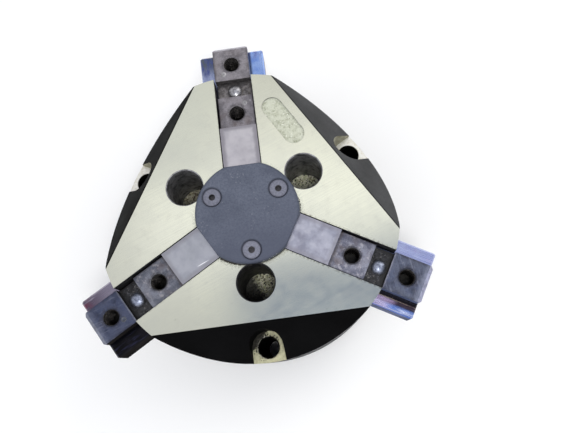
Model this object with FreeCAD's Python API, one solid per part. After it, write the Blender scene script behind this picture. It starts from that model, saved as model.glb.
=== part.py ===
import FreeCAD, Part
import os
from math import sin, cos, tan, radians, sqrt, pi

V = FreeCAD.Vector
os.makedirs("parts", exist_ok=True)

# Three-jaw centric pneumatic gripper, millimetres.
# Frame: Z is the gripper axis and points out of the jaw side. Z = 0 is the
# mounting face, Z = H_TOP the bright top face. Jaw 1 points along +Y, jaws 2
# and 3 at 210 and 330 degrees. Modelled with the jaws open.

# ---------------------------------------------------------------- housing
H_TOP = 100.0            # mounting face to top face
R_BODY = 79.4            # outer radius beside the jaws
R_SIDE_ARC = 86.0        # radius of the three flatter sides
SIDE_MID = 77.4          # distance of the middle of a flatter side
EDGE_D = 57.2            # straight top edge to the axis
SLOPE = 1.55             # drop per mm of radius on the three slopes
JAW_ANG = (90.0, 210.0, 330.0)
SIDE_ANG = (30.0, 150.0, 270.0)
BOLT_RHO = 69.2          # front-mounting bolt holes
BOLT_R = 5.5
SPOT_R = 9.0
SPOT_Z = 68.0
POCKET_RHO = 37.0        # deep blind pockets
POCKET_R = 9.8
POCKET_DEPTH = 38.5
LABEL_N = 46.0           # label recess: distance of its centre line
LABEL_S0, LABEL_S1 = 20.3, 39.8
LABEL_R = 5.8
LABEL_DEPTH = 0.7
DOWEL_RHO, DOWEL_R, DOWEL_DEPTH = 67.0, 4.0, 12.0

# ---------------------------------------------------------------- jaws
JAW_STROKE = 16.0
PISTON_STROKE = 24.0
K = JAW_STROKE / PISTON_STROKE   # radial travel per mm of piston travel
NECK_W = 10.0            # half width of the neck
LAND_Z = H_TOP - 0.3
BLOCK_Z = H_TOP - 3.7
GROOVE_Z = H_TOP - 8.4
NECK_IN = 22.0
LAND_END = 49.1
GROOVE_0, GROOVE_1 = 68.5, 79.0
JAW_END = 99.8
FLANGE_W = 18.4
FLANGE_Z0, FLANGE_Z1 = 74.3, 89.0
FLANGE_IN = 28.0
FLANGE_END = 99.2
LEG_Z = 58.0
LEG_OUT = 59.0
TAP_RHO = (58.7, 88.9)
TAP_R = 4.25
TAP_DEPTH = 18.0
PIN_RHO = 73.75
PIN_R = 3.9
PIN_TOP = H_TOP - 6.0

# ---------------------------------------------------------------- guides
GAP = 0.3                # side play of the sliding parts
SLOT_W = 10.5            # half width of the upper slot
CHAMBER_W = FLANGE_W + GAP
CHAMBER_Z0, CHAMBER_Z1 = FLANGE_Z0 - GAP, FLANGE_Z1 + GAP

# ---------------------------------------------------------------- wedge
W_TOP = 95.5
W_LEN = 18.0
W_FACE = 20.0            # radius of the inclined face at W_TOP
W_ARM = 9.0              # half width of an arm
T_NECK, T_HEAD = 4.0, 6.5        # half widths of the T rail
T_NECK_D, T_HEAD_D = 4.0, 5.0    # radial depths of the T rail
PIT_Z = 53.2             # floor of the wedge space
PIT_R = 41.6

# ---------------------------------------------------------------- drive
ROD_R = 10.0
WALL_Z0 = 46.0           # underside of the partition wall
BORE_R = 48.0
PIST_R = 47.9
PIST_TOP = 45.5
PIST_T = 11.5
COVER_FLANGE_R = 57.0
COVER_FLANGE_T = 5.5
COVER_T = 9.5
COVER_SUNK = 0.2         # rear cover stays clear of the mounting plane
COVER_SCREW_RHO = 52.6

# ---------------------------------------------------------------- cover
CC_R = 27.5              # centre cover
CC_FLAT = 25.8
CC_T = 3.0
CC_SCREW_RHO = 20.4


def cyl(r, z0, z1, x=0.0, y=0.0):
    return Part.makeCylinder(r, z1 - z0, V(x, y, z0), V(0, 0, 1))


def cone(r0, r1, z0, z1, x=0.0, y=0.0):
    return Part.makeCone(r0, r1, z1 - z0, V(x, y, z0), V(0, 0, 1))


def box(x0, x1, y0, y1, z0, z1):
    return Part.makeBox(x1 - x0, y1 - y0, z1 - z0, V(x0, y0, z0))


def ring(r0, r1, z0, z1):
    return cyl(r1, z0, z1).cut(cyl(r0, z0 - 1, z1 + 1))


def turned(shape, deg):
    s = shape.copy()
    s.rotate(V(0, 0, 0), V(0, 0, 1), deg)
    return s


def polar(rho, deg):
    return rho * cos(radians(deg)), rho * sin(radians(deg))


def prism(points, z0, z1):
    pts = [V(x, y, z0) for x, y in points]
    w = Part.makePolygon(pts + [pts[0]])
    return Part.Face(w).extrude(V(0, 0, z1 - z0))


def leaning(points, z0, z1, z_ref):
    # A plan outline, given at height z_ref in jaw-1 directions (radius along
    # +Y), that leans inwards going up by K per millimetre.
    sh = (z_ref - z0) * K
    pts = [V(x, y + sh, z0) for x, y in points]
    w = Part.makePolygon(pts + [pts[0]])
    return Part.Face(w).extrude(V(0, -(z1 - z0) * K, z1 - z0))


def one(shape):
    # merge split faces where that leaves the same valid solid
    src = shape.copy()
    s = src.removeSplitter()
    if not s.isValid() or abs(s.Volume - shape.Volume) > 1e-6 * max(shape.Volume, 1.0):
        s = shape
    if s.ShapeType == "Compound" and len(s.Solids) == 1:
        s = s.Solids[0]
    return s


def hexagon(af, z0, z1, x=0.0, y=0.0, deg=0.0):
    r = af / 2 / cos(radians(30))
    return prism([(x + r * cos(radians(60 * i + deg)), y + r * sin(radians(60 * i + deg)))
                  for i in range(6)], z0, z1)


def edges_at(shape, test):
    return [e for e in shape.Edges if test(e)]


def soften(shape, size, test):
    # Small chamfers on chosen edges; left as it is where they can't be made.
    es = edges_at(shape, test)
    if not es:
        return shape
    try:
        s = shape.makeChamfer(size, es)
        if s.isValid() and s.Volume > 0:
            return one(s)
    except Exception:
        pass
    return shape


nodes = {}


# ================================================================ housing
def make_housing():
    body = cyl(R_BODY, 0, H_TOP)
    off = R_SIDE_ARC - SIDE_MID
    for a in SIDE_ANG:
        x, y = polar(off, a + 180)
        body = body.common(cyl(R_SIDE_ARC, -1, H_TOP + 1, x, y))
    # three slopes, each a wedge-shaped cut outside a straight top edge
    run = 60.0
    for a in SIDE_ANG:
        prof = Part.makePolygon([V(EDGE_D, 0, H_TOP), V(EDGE_D + run, 0, H_TOP - run * SLOPE),
                                 V(EDGE_D + run, 0, H_TOP + 5), V(EDGE_D, 0, H_TOP + 5),
                                 V(EDGE_D, 0, H_TOP)])
        w = Part.Face(prof).extrude(V(0, 240, 0))
        w.translate(V(0, -120, 0))
        body = body.cut(turned(w, a))
    # edge of the base
    body = soften(body, 1.0, lambda e: abs(e.BoundBox.ZMax) < 1e-4)

    # upper slots, T chambers, leg slots and wedge space, each a three-armed star
    def star(w, reach, z0, z1):
        arms = [turned(box(-w, w, -w * tan(radians(30)), reach, z0, z1), a - 90) for a in JAW_ANG]
        return one(arms[0].fuse(arms[1]).fuse(arms[2]))

    for s in (star(SLOT_W, 100, CHAMBER_Z1, H_TOP + 1), star(CHAMBER_W, 100, CHAMBER_Z0, CHAMBER_Z1),
              star(SLOT_W, LEG_OUT + 0.6, LEG_Z - 0.5, CHAMBER_Z0), star(SLOT_W, PIT_R, PIT_Z, LEG_Z - 0.5)):
        body = body.cut(s)
    cuts = []
    for a in SIDE_ANG:
        x, y = polar(BOLT_RHO, a)
        # bolt hole with its U-shaped spot face open to the outside
        cuts.append(cyl(BOLT_R, -1, SPOT_Z + 1, x, y))
        cuts.append(cone(BOLT_R, BOLT_R + 0.7, SPOT_Z - 0.7, SPOT_Z, x, y))
        cuts.append(cyl(SPOT_R, SPOT_Z, H_TOP + 1, x, y))
        cuts.append(turned(box(0, 30, -SPOT_R, SPOT_R, SPOT_Z, H_TOP + 1).translated(V(BOLT_RHO, 0, 0)), a))
        x, y = polar(POCKET_RHO, a)
        cuts.append(cyl(POCKET_R, H_TOP - POCKET_DEPTH, H_TOP + 1, x, y))
        cuts.append(cone(POCKET_R, POCKET_R + 0.5, H_TOP - 0.5, H_TOP, x, y))
        x, y = polar(CC_SCREW_RHO, a)
        cuts.append(cyl(2.5, H_TOP - 9.7, H_TOP + 1, x, y))
        cuts.append(cone(2.5, 3.2, H_TOP - 0.7, H_TOP, x, y))
    for a in (0.0, 180.0):
        x, y = polar(DOWEL_RHO, a)
        cuts.append(cyl(DOWEL_R, -1, DOWEL_DEPTH, x, y))
        cuts.append(cone(DOWEL_R + 0.5, DOWEL_R, 0, 0.5, x, y))
    # label recess, along the edge of the first side
    lab = box(LABEL_N - LABEL_R, LABEL_N + LABEL_R, LABEL_S0, LABEL_S1, H_TOP - LABEL_DEPTH, H_TOP + 1)
    lab = lab.fuse(cyl(LABEL_R, H_TOP - LABEL_DEPTH, H_TOP + 1, LABEL_N, LABEL_S0))
    lab = lab.fuse(cyl(LABEL_R, H_TOP - LABEL_DEPTH, H_TOP + 1, LABEL_N, LABEL_S1))
    cuts.append(turned(lab, SIDE_ANG[0]))
    # cylinder, cover recess, rod bore with bush and seal seats
    cuts.append(cyl(BORE_R, COVER_FLANGE_T - 1, WALL_Z0))
    cuts.append(cyl(COVER_FLANGE_R, -1, COVER_FLANGE_T))
    cuts.append(cyl(12.0, WALL_Z0 - 1, PIT_Z + 1))
    cuts.append(cyl(14.0, WALL_Z0 - 1, WALL_Z0 + 3.2))
    for i in range(6):
        x, y = polar(COVER_SCREW_RHO, 60 * i)
        cuts.append(cyl(2.0, COVER_FLANGE_T - 1, COVER_FLANGE_T + 8.5, x, y))
    # two air ports on the side of jaw 1, each with its passage to the cylinder
    for x, zp, zh in ((-14.0, 41.5, 44.5), (14.0, 14.0, 11.0)):
        cuts.append(Part.makeCylinder(4.3, 16.0, V(x, 64.0, zp), V(0, 1, 0)))
        cuts.append(Part.makeCylinder(7.5, 10.0, V(x, 76.0, zp), V(0, 1, 0)))
        cuts.append(Part.makeCylinder(1.2, 22.0, V(x, 43.0, zh), V(0, 1, 0)))
    for c in cuts:
        body = body.cut(c)
    return one(body)


housing = make_housing()
# edge breaks on the straight top edges
housing = soften(housing, 0.45, lambda e: abs(e.BoundBox.ZMin - H_TOP) < 1e-4 and abs(e.BoundBox.ZMax - H_TOP) < 1e-4
                 and e.Curve.TypeId == "Part::GeomLine"
                 and sqrt(e.CenterOfMass.x ** 2 + e.CenterOfMass.y ** 2) > 56.0
                 and e.Length > 40)
nodes["housing"] = housing


# ================================================================ centre cover
def make_cover():
    c = cyl(CC_R, H_TOP, H_TOP + CC_T)
    for a in JAW_ANG:
        c = c.cut(turned(box(CC_FLAT, 40, -40, 40, H_TOP - 1, H_TOP + CC_T + 1), a))
    c = one(c)
    c = soften(c, 0.5, lambda e: abs(e.BoundBox.ZMin - (H_TOP + CC_T)) < 1e-4)
    for a in SIDE_ANG:
        x, y = polar(CC_SCREW_RHO, a)
        c = c.cut(cyl(2.7, H_TOP - 1, H_TOP + CC_T + 1, x, y))
        c = c.cut(cone(2.7, 5.6, H_TOP + CC_T - 2.9, H_TOP + CC_T, x, y))
        c = c.cut(cyl(5.6, H_TOP + CC_T, H_TOP + CC_T + 1, x, y))
    return one(c)


nodes["center_cover"] = make_cover()


def csk_screw(head_r, shank_r, z_top, length, x, y, af, deg):
    # countersunk hex-socket screw, head up, z_top at the top of the head
    h = head_r - shank_r
    s = cone(shank_r, head_r, z_top - 0.3 - h, z_top - 0.3, x, y)
    s = s.fuse(cyl(head_r, z_top - 0.3, z_top, x, y))
    s = s.fuse(cyl(shank_r, z_top - length, z_top - 0.3 - h, x, y))
    s = s.cut(hexagon(af, z_top - 1.9, z_top + 1, x, y, deg))
    return one(s)


shift = 0.6     # heads seat in the countersinks, a little below the cover's face
nodes["cover_screws"] = Part.makeCompound([
    csk_screw(4.7, 2.5, H_TOP + CC_T - shift, 12.0, *polar(CC_SCREW_RHO, a), 3.0, d)
    for a, d in zip(SIDE_ANG, (12.0, 47.0, 33.0))])


# ================================================================ jaws
def t_outline(clear):
    # plan outline of an arm's T rail at W_TOP, radius along +Y
    n, h = T_NECK + clear, T_HEAD + clear
    y0 = W_FACE - 3.0
    y1 = W_FACE + T_NECK_D - clear
    y2 = W_FACE + T_NECK_D + T_HEAD_D + clear
    return [(-n, y0), (n, y0), (n, y1), (h, y1), (h, y2), (-h, y2), (-h, y1), (-n, y1)]


def make_jaw():
    # neck with land, blocks and cross groove
    neck = box(-NECK_W, NECK_W, NECK_IN, LAND_END, FLANGE_Z0, LAND_Z)
    neck = neck.fuse(box(-NECK_W, NECK_W, LAND_END - 1, JAW_END, FLANGE_Z1 - 1, BLOCK_Z))
    neck = neck.cut(box(-20, 20, GROOVE_0, GROOVE_1, GROOVE_Z, H_TOP))
    # corner and end chamfers of the neck
    c = 2.0
    neck = neck.cut(Part.Face(Part.makePolygon([
        V(-20, JAW_END, BLOCK_Z - c), V(-20, JAW_END + 1, BLOCK_Z - c), V(-20, JAW_END + 1, BLOCK_Z + 1),
        V(-20, JAW_END - c, BLOCK_Z + 1), V(-20, JAW_END - c, BLOCK_Z), V(-20, JAW_END, BLOCK_Z - c)])).extrude(V(40, 0, 0)))
    for s in (-1, 1):
        c1 = 1.2
        neck = neck.cut(prism([(s * NECK_W, JAW_END - c1), (s * (NECK_W + 1), JAW_END - c1),
                               (s * (NECK_W + 1), JAW_END + 1), (s * (NECK_W - c1), JAW_END + 1),
                               (s * (NECK_W - c1), JAW_END)], FLANGE_Z1 - 2, H_TOP))
    neck = one(neck)
    neck = soften(neck, 0.4, lambda e: e.Curve.TypeId == "Part::GeomLine"
                  and e.BoundBox.ZMin > GROOVE_Z - 0.01
                  and e.BoundBox.YMin > 40 and e.BoundBox.YMax < JAW_END - 2.5
                  and abs(abs(e.CenterOfMass.x) - NECK_W) < 1e-3 and e.BoundBox.ZLength < 1e-3)
    # T flange
    fl = box(-FLANGE_W, FLANGE_W, FLANGE_IN, FLANGE_END, FLANGE_Z0, FLANGE_Z1)
    fl = soften(fl, 0.8, lambda e: e.Curve.TypeId == "Part::GeomLine"
                and (abs(e.CenterOfMass.y - FLANGE_END) < 1e-3
                     or (abs(abs(e.CenterOfMass.x) - FLANGE_W) < 1e-3 and e.BoundBox.YLength > 10)))
    # leg below the flange that carries the inclined hook slot
    leg = box(-NECK_W, NECK_W, NECK_IN, LEG_OUT, LEG_Z, FLANGE_Z0 + 1)
    j = fl.fuse(neck).fuse(leg)
    # clearance grooves at the foot of the neck
    for s in (-1, 1):
        x0, x1 = sorted((s * (NECK_W - 0.5), s * (NECK_W + 1.0)))
        j = j.cut(box(x0, x1, NECK_IN - 1, JAW_END + 1, FLANGE_Z1 - 0.35, FLANGE_Z1 + 0.8))
    # inclined face and T slot; the slot is closed by a roof under the land
    w = NECK_W + 0.05
    y_f = W_FACE + GAP
    j = j.cut(leaning([(-w, -40), (w, -40), (w, y_f), (-w, y_f)], LEG_Z - 2, W_TOP + GAP, W_TOP))
    j = j.cut(leaning(t_outline(GAP), LEG_Z - 2, W_TOP + GAP, W_TOP))
    # tapped holes
    for rho in TAP_RHO:
        j = j.cut(cyl(TAP_R, BLOCK_Z - TAP_DEPTH, BLOCK_Z + 1, 0, rho))
        j = j.cut(cone(TAP_R, TAP_R + 0.75, BLOCK_Z - 0.75, BLOCK_Z, 0, rho))
    # pin hole in the groove
    j = j.cut(cyl(PIN_R, GROOVE_Z - 10.0, GROOVE_Z + 1, 0, PIN_RHO))
    return one(j)


def make_pin():
    rise = 1.4
    r_dome = (PIN_R ** 2 + rise ** 2) / (2 * rise)
    p = cyl(PIN_R, GROOVE_Z - 9.9, PIN_TOP, 0, PIN_RHO)
    dome = Part.makeSphere(r_dome, V(0, PIN_RHO, PIN_TOP - r_dome))
    p = p.common(dome.fuse(cyl(PIN_R, GROOVE_Z - 20, PIN_TOP - rise, 0, PIN_RHO)))
    return one(p)


jaw = make_jaw()
pin = make_pin()
for i, a in enumerate(JAW_ANG, 1):
    nodes["jaw_%d" % i] = turned(jaw, a - 90)
    nodes["jaw_pin_%d" % i] = turned(pin, a - 90)


# ================================================================ wedge hook
def make_wedge():
    z0, z1 = W_TOP - W_LEN, W_TOP
    w = None
    for a in JAW_ANG:
        arm = leaning([(-W_ARM, -14.0), (W_ARM, -14.0), (W_ARM, W_FACE), (-W_ARM, W_FACE)], z0, z1, W_TOP)
        # keep only the outward half of each arm
        arm = arm.common(prism([(0, 0), (60, 60 * tan(radians(30))), (60, 80), (-60, 80), (-60, 60 * tan(radians(30)))],
                               z0 - 1, z1 + 1))
        arm = arm.fuse(leaning(t_outline(0.0), z0, z1, W_TOP))
        arm = turned(arm, a - 90)
        w = arm if w is None else w.fuse(arm)
    w = one(w)
    w = w.fuse(cyl(ROD_R - 0.4, z0, z1))
    # seat of the rod and thread of the long bolt
    w = w.cut(cyl(7.02, z0 - 1, z0 + 3.0))
    w = w.cut(cyl(4.0, z0 - 1, z0 + 15.0))
    return one(w)


nodes["wedge_hook"] = make_wedge()

# ================================================================ rod, piston
W_BOT = W_TOP - W_LEN
PIST_BOT = PIST_TOP - PIST_T
rod = cyl(ROD_R, PIST_TOP - 1.5, W_BOT)
rod = rod.fuse(cyl(7.0, PIST_TOP - 3.5, W_BOT + 2.9))
rod = rod.cut(cyl(4.2, PIST_TOP - 10, W_BOT + 10))
nodes["piston_rod"] = one(rod)

p = cyl(PIST_R, PIST_BOT, PIST_TOP)
p = soften(p, 1.5, lambda e: e.Curve.TypeId == "Part::GeomCircle")
p = p.cut(ring(44.4, 60, PIST_BOT + 1.8, PIST_BOT + 4.6))       # seal groove
p = p.cut(ring(43.6, 60, PIST_BOT + 5.3, PIST_BOT + 7.5))       # magnet groove
p = p.cut(ring(46.0, 60, PIST_BOT + 8.0, PIST_BOT + 9.9))       # guide band groove
p = p.cut(cyl(ROD_R + 0.02, PIST_TOP - 1.5, PIST_TOP + 1))
p = p.cut(cyl(7.02, PIST_TOP - 3.5, PIST_TOP + 1))
p = p.cut(cyl(4.3, PIST_BOT - 1, PIST_TOP + 1))
p = p.cut(cyl(9.0, PIST_BOT - 1, PIST_BOT + 6.0))
# weight-saving recess on the underside
p = p.cut(ring(20.0, 38.0, PIST_BOT - 1, PIST_BOT + 5.0))
nodes["piston"] = one(p)

nodes["piston_seal"] = one(ring(44.4, 47.95, PIST_BOT + 1.8, PIST_BOT + 4.6))
nodes["piston_magnet"] = one(ring(43.6, 47.2, PIST_BOT + 5.3, PIST_BOT + 7.5))
nodes["piston_guide_band"] = one(ring(46.0, 47.96, PIST_BOT + 8.0, PIST_BOT + 9.9))

nodes["piston_washer"] = one(ring(4.2, 8.0, PIST_BOT + 4.6, PIST_BOT + 6.0))
bolt = cyl(4.0, PIST_BOT + 4.6, W_BOT + 14.0)
bolt = bolt.fuse(cyl(6.5, PIST_BOT + 4.6 - 8.0, PIST_BOT + 4.6))
bolt = soften(one(bolt), 0.5, lambda e: e.Curve.TypeId == "Part::GeomCircle" and abs(e.CenterOfMass.z - (PIST_BOT - 3.4)) < 1e-3)
bolt = bolt.cut(hexagon(6.0, PIST_BOT - 4.5, PIST_BOT + 0.6))
nodes["piston_bolt"] = one(bolt)

# ================================================================ bush, seal
b = ring(ROD_R + 0.03, 12.0, WALL_Z0 + 3.2, PIT_Z)
nodes["rod_guide_bush"] = one(b)
rs = ring(ROD_R + 0.04, 14.0, WALL_Z0 + 0.2, WALL_Z0 + 3.2)
rs = rs.cut(ring(ROD_R + 1.2, ROD_R + 2.4, WALL_Z0 - 1, WALL_Z0 + 1.6))
nodes["rod_seal"] = one(rs)

# ================================================================ rear cover
rc = cyl(COVER_FLANGE_R - 0.05, COVER_SUNK, COVER_FLANGE_T)
rc = rc.fuse(cyl(BORE_R - 0.05, COVER_FLANGE_T, COVER_T))
rc = one(rc)
rc = rc.cut(ring(BORE_R - 1.6, 60, COVER_FLANGE_T + 0.9, COVER_T - 1.0).common(cyl(60, COVER_FLANGE_T + 0.9, COVER_T - 1.0)))
rc = rc.cut(cyl(9.0, COVER_T - 4.6, COVER_T + 1))
for i in range(6):
    x, y = polar(COVER_SCREW_RHO, 60 * i)
    rc = rc.cut(cyl(2.2, -1, COVER_FLANGE_T + 1, x, y))
    rc = rc.cut(cone(4.2, 2.2, COVER_SUNK, COVER_SUNK + 2.0, x, y))
nodes["rear_cover"] = one(rc)

zc = (COVER_FLANGE_T + 0.9 + COVER_T - 1.0) / 2
nodes["rear_cover_seal"] = one(ring(BORE_R - 1.6, BORE_R - 0.02, COVER_FLANGE_T + 1.1, COVER_T - 1.2))

rcs = []
for i in range(6):
    x, y = polar(COVER_SCREW_RHO, 60 * i)
    s = cone(3.8, 2.0, 0.55, 2.35, x, y)
    s = s.fuse(cyl(3.8, 0.35, 0.55, x, y)).fuse(cyl(2.0, 2.35, 12.0, x, y))
    s = s.cut(hexagon(2.5, -1, 1.8, x, y, 17.0 * i))
    rcs.append(one(s))
nodes["rear_cover_screws"] = Part.makeCompound(rcs)

# ================================================================ write
for name, shape in nodes.items():
    assert shape.isValid(), name
    solids = shape.Solids
    vol = sum(s.Volume for s in solids)
    bb = shape.BoundBox
    print("%-20s solids %d  vol %9.1f mm3  z %.2f..%.2f  r<%.1f" % (
        name, len(solids), vol, bb.ZMin, bb.ZMax, max(bb.XMax, bb.YMax, -bb.XMin, -bb.YMin)))
    shape.exportStep("parts/%s.step" % name)
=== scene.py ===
import math
import random

import bmesh
import bpy
import numpy as np
from mathutils import Matrix, Vector


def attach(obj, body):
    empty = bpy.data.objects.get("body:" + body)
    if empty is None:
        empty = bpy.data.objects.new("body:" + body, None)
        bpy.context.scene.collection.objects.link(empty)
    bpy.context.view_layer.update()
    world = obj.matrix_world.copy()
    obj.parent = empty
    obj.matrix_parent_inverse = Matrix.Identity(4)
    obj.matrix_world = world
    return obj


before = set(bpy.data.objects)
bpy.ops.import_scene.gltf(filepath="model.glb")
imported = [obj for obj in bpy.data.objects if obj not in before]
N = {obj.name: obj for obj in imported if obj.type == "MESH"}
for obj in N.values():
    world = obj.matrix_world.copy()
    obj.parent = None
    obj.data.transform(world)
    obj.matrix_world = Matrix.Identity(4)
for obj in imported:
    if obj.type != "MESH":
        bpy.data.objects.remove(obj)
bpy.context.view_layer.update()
MM = 0.001
random.seed(7)
rng = np.random.default_rng(11)

# ------------------------------------------------------------------ constants (mm, as in the design)
H = 100.0
JAW_ANG = (90.0, 210.0, 330.0)
SIDE_ANG = (30.0, 150.0, 270.0)


# ================================================================== node helpers
class Mat:
    """A small writer for procedural node materials."""

    def __init__(self, name):
        self.m = bpy.data.materials.new(name)
        self.m.use_nodes = True
        self.nt = self.m.node_tree
        self.nt.nodes.clear()
        self.out = self.nt.nodes.new("ShaderNodeOutputMaterial")
        self.b = self.nt.nodes.new("ShaderNodeBsdfPrincipled")
        self.nt.links.new(self.b.outputs[0], self.out.inputs[0])
        self._obj = None

    def n(self, kind, **kw):
        x = self.nt.nodes.new(kind)
        for k, v in kw.items():
            setattr(x, k, v)
        return x

    def link(self, a, b):
        self.nt.links.new(a, b)

    def set(self, **kw):
        for k, v in kw.items():
            s = self.b.inputs[k.replace("_", " ")]
            s.default_value = v

    def obj(self):
        if self._obj is None:
            self._obj = self.n("ShaderNodeTexCoord").outputs["Object"]
        return self._obj

    def sep(self, v=None):
        s = self.n("ShaderNodeSeparateXYZ")
        self.link(v or self.obj(), s.inputs[0])
        return s.outputs

    def mapping(self, scale=(1, 1, 1), rot=(0, 0, 0), loc=(0, 0, 0), v=None):
        m = self.n("ShaderNodeMapping")
        m.inputs["Scale"].default_value = scale
        m.inputs["Rotation"].default_value = rot
        m.inputs["Location"].default_value = loc
        self.link(v or self.obj(), m.inputs[0])
        return m.outputs[0]

    def noise(self, scale, detail=4.0, rough=0.55, v=None, dist=0.0, out=0):
        t = self.n("ShaderNodeTexNoise")
        t.inputs["Scale"].default_value = scale
        t.inputs["Detail"].default_value = detail
        t.inputs["Roughness"].default_value = rough
        t.inputs["Distortion"].default_value = dist
        self.link(v or self.obj(), t.inputs["Vector"])
        return t.outputs[out]

    def voronoi(self, scale, v=None, feature="F1", rand=1.0, out="Distance"):
        t = self.n("ShaderNodeTexVoronoi", feature=feature)
        t.inputs["Scale"].default_value = scale
        t.inputs["Randomness"].default_value = rand
        self.link(v or self.obj(), t.inputs["Vector"])
        return t.outputs[out]

    def ramp(self, fac, stops, interp="LINEAR"):
        r = self.n("ShaderNodeValToRGB")
        r.color_ramp.interpolation = interp
        els = r.color_ramp.elements
        while len(els) < len(stops):
            els.new(0.5)
        for e, (p, c) in zip(els, stops):
            e.position = p
            e.color = (c, c, c, 1) if isinstance(c, (int, float)) else tuple(c) + (1,)
        self.link(fac, r.inputs[0])
        return r.outputs[0]

    def mix(self, fac, a, b, blend="MIX"):
        m = self.n("ShaderNodeMix", data_type="RGBA", blend_type=blend)
        m.clamp_factor = True
        for s, v in ((m.inputs[0], fac), (m.inputs[6], a), (m.inputs[7], b)):
            if isinstance(v, bpy.types.NodeSocket):
                self.link(v, s)
            elif isinstance(v, (int, float)):
                if s is m.inputs[0]:
                    s.default_value = v
                else:
                    s.default_value = (v, v, v, 1)
            else:
                s.default_value = tuple(v) + (1,)
        return m.outputs[2]

    def math(self, op, a, b=None, c=None, clamp=False):
        m = self.n("ShaderNodeMath", operation=op)
        m.use_clamp = clamp
        for i, v in enumerate((a, b, c)):
            if v is None:
                continue
            if isinstance(v, bpy.types.NodeSocket):
                self.link(v, m.inputs[i])
            else:
                m.inputs[i].default_value = v
        return m.outputs[0]

    def maprange(self, v, a, b, c=0.0, d=1.0, smooth=False):
        m = self.n("ShaderNodeMapRange", interpolation_type="SMOOTHSTEP" if smooth else "LINEAR")
        for i, x in zip((1, 2, 3, 4), (a, b, c, d)):
            m.inputs[i].default_value = x
        self.link(v, m.inputs[0])
        return m.outputs[0]

    def bump(self, h, dist, strength=1.0, normal=None):
        b = self.n("ShaderNodeBump")
        b.inputs["Strength"].default_value = strength
        b.inputs["Distance"].default_value = dist
        self.link(h, b.inputs["Height"])
        if normal is not None:
            self.link(normal, b.inputs["Normal"])
        return b.outputs[0]

    def to(self, socket_shade, name):
        self.link(socket_shade, self.b.inputs[name])


def srgb(r, g, b):
    f = lambda c: ((c / 255 + 0.055) / 1.055) ** 2.4 if c / 255 > 0.04045 else c / 255 / 12.92
    return (f(r), f(g), f(b))


# ================================================================== materials
# Every material works in millimetres: P is the object position times 1000,
# turned so that +Y is the radial direction of the jaw it is for.
def new(name, turn=0.0):
    m = Mat(name)
    m.P = m.mapping(scale=(1000, 1000, 1000), rot=(0, 0, -math.radians(turn)))
    return m


def streaks(m, angle, along=0.03, across=2.2, detail=2.0, z=1.0):
    """Fine parallel tool marks on a face, running at that angle in plan."""
    v = m.mapping(rot=(0, 0, -math.radians(angle)), v=m.P)
    v = m.mapping(scale=(along, across, z), v=v)
    return m.noise(1.0, detail, 0.6, v=v)


def blend_n(m, fac_noise, lo, hi):
    return m.maprange(fac_noise, lo, hi, 0.0, 1.0, smooth=True)


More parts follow.
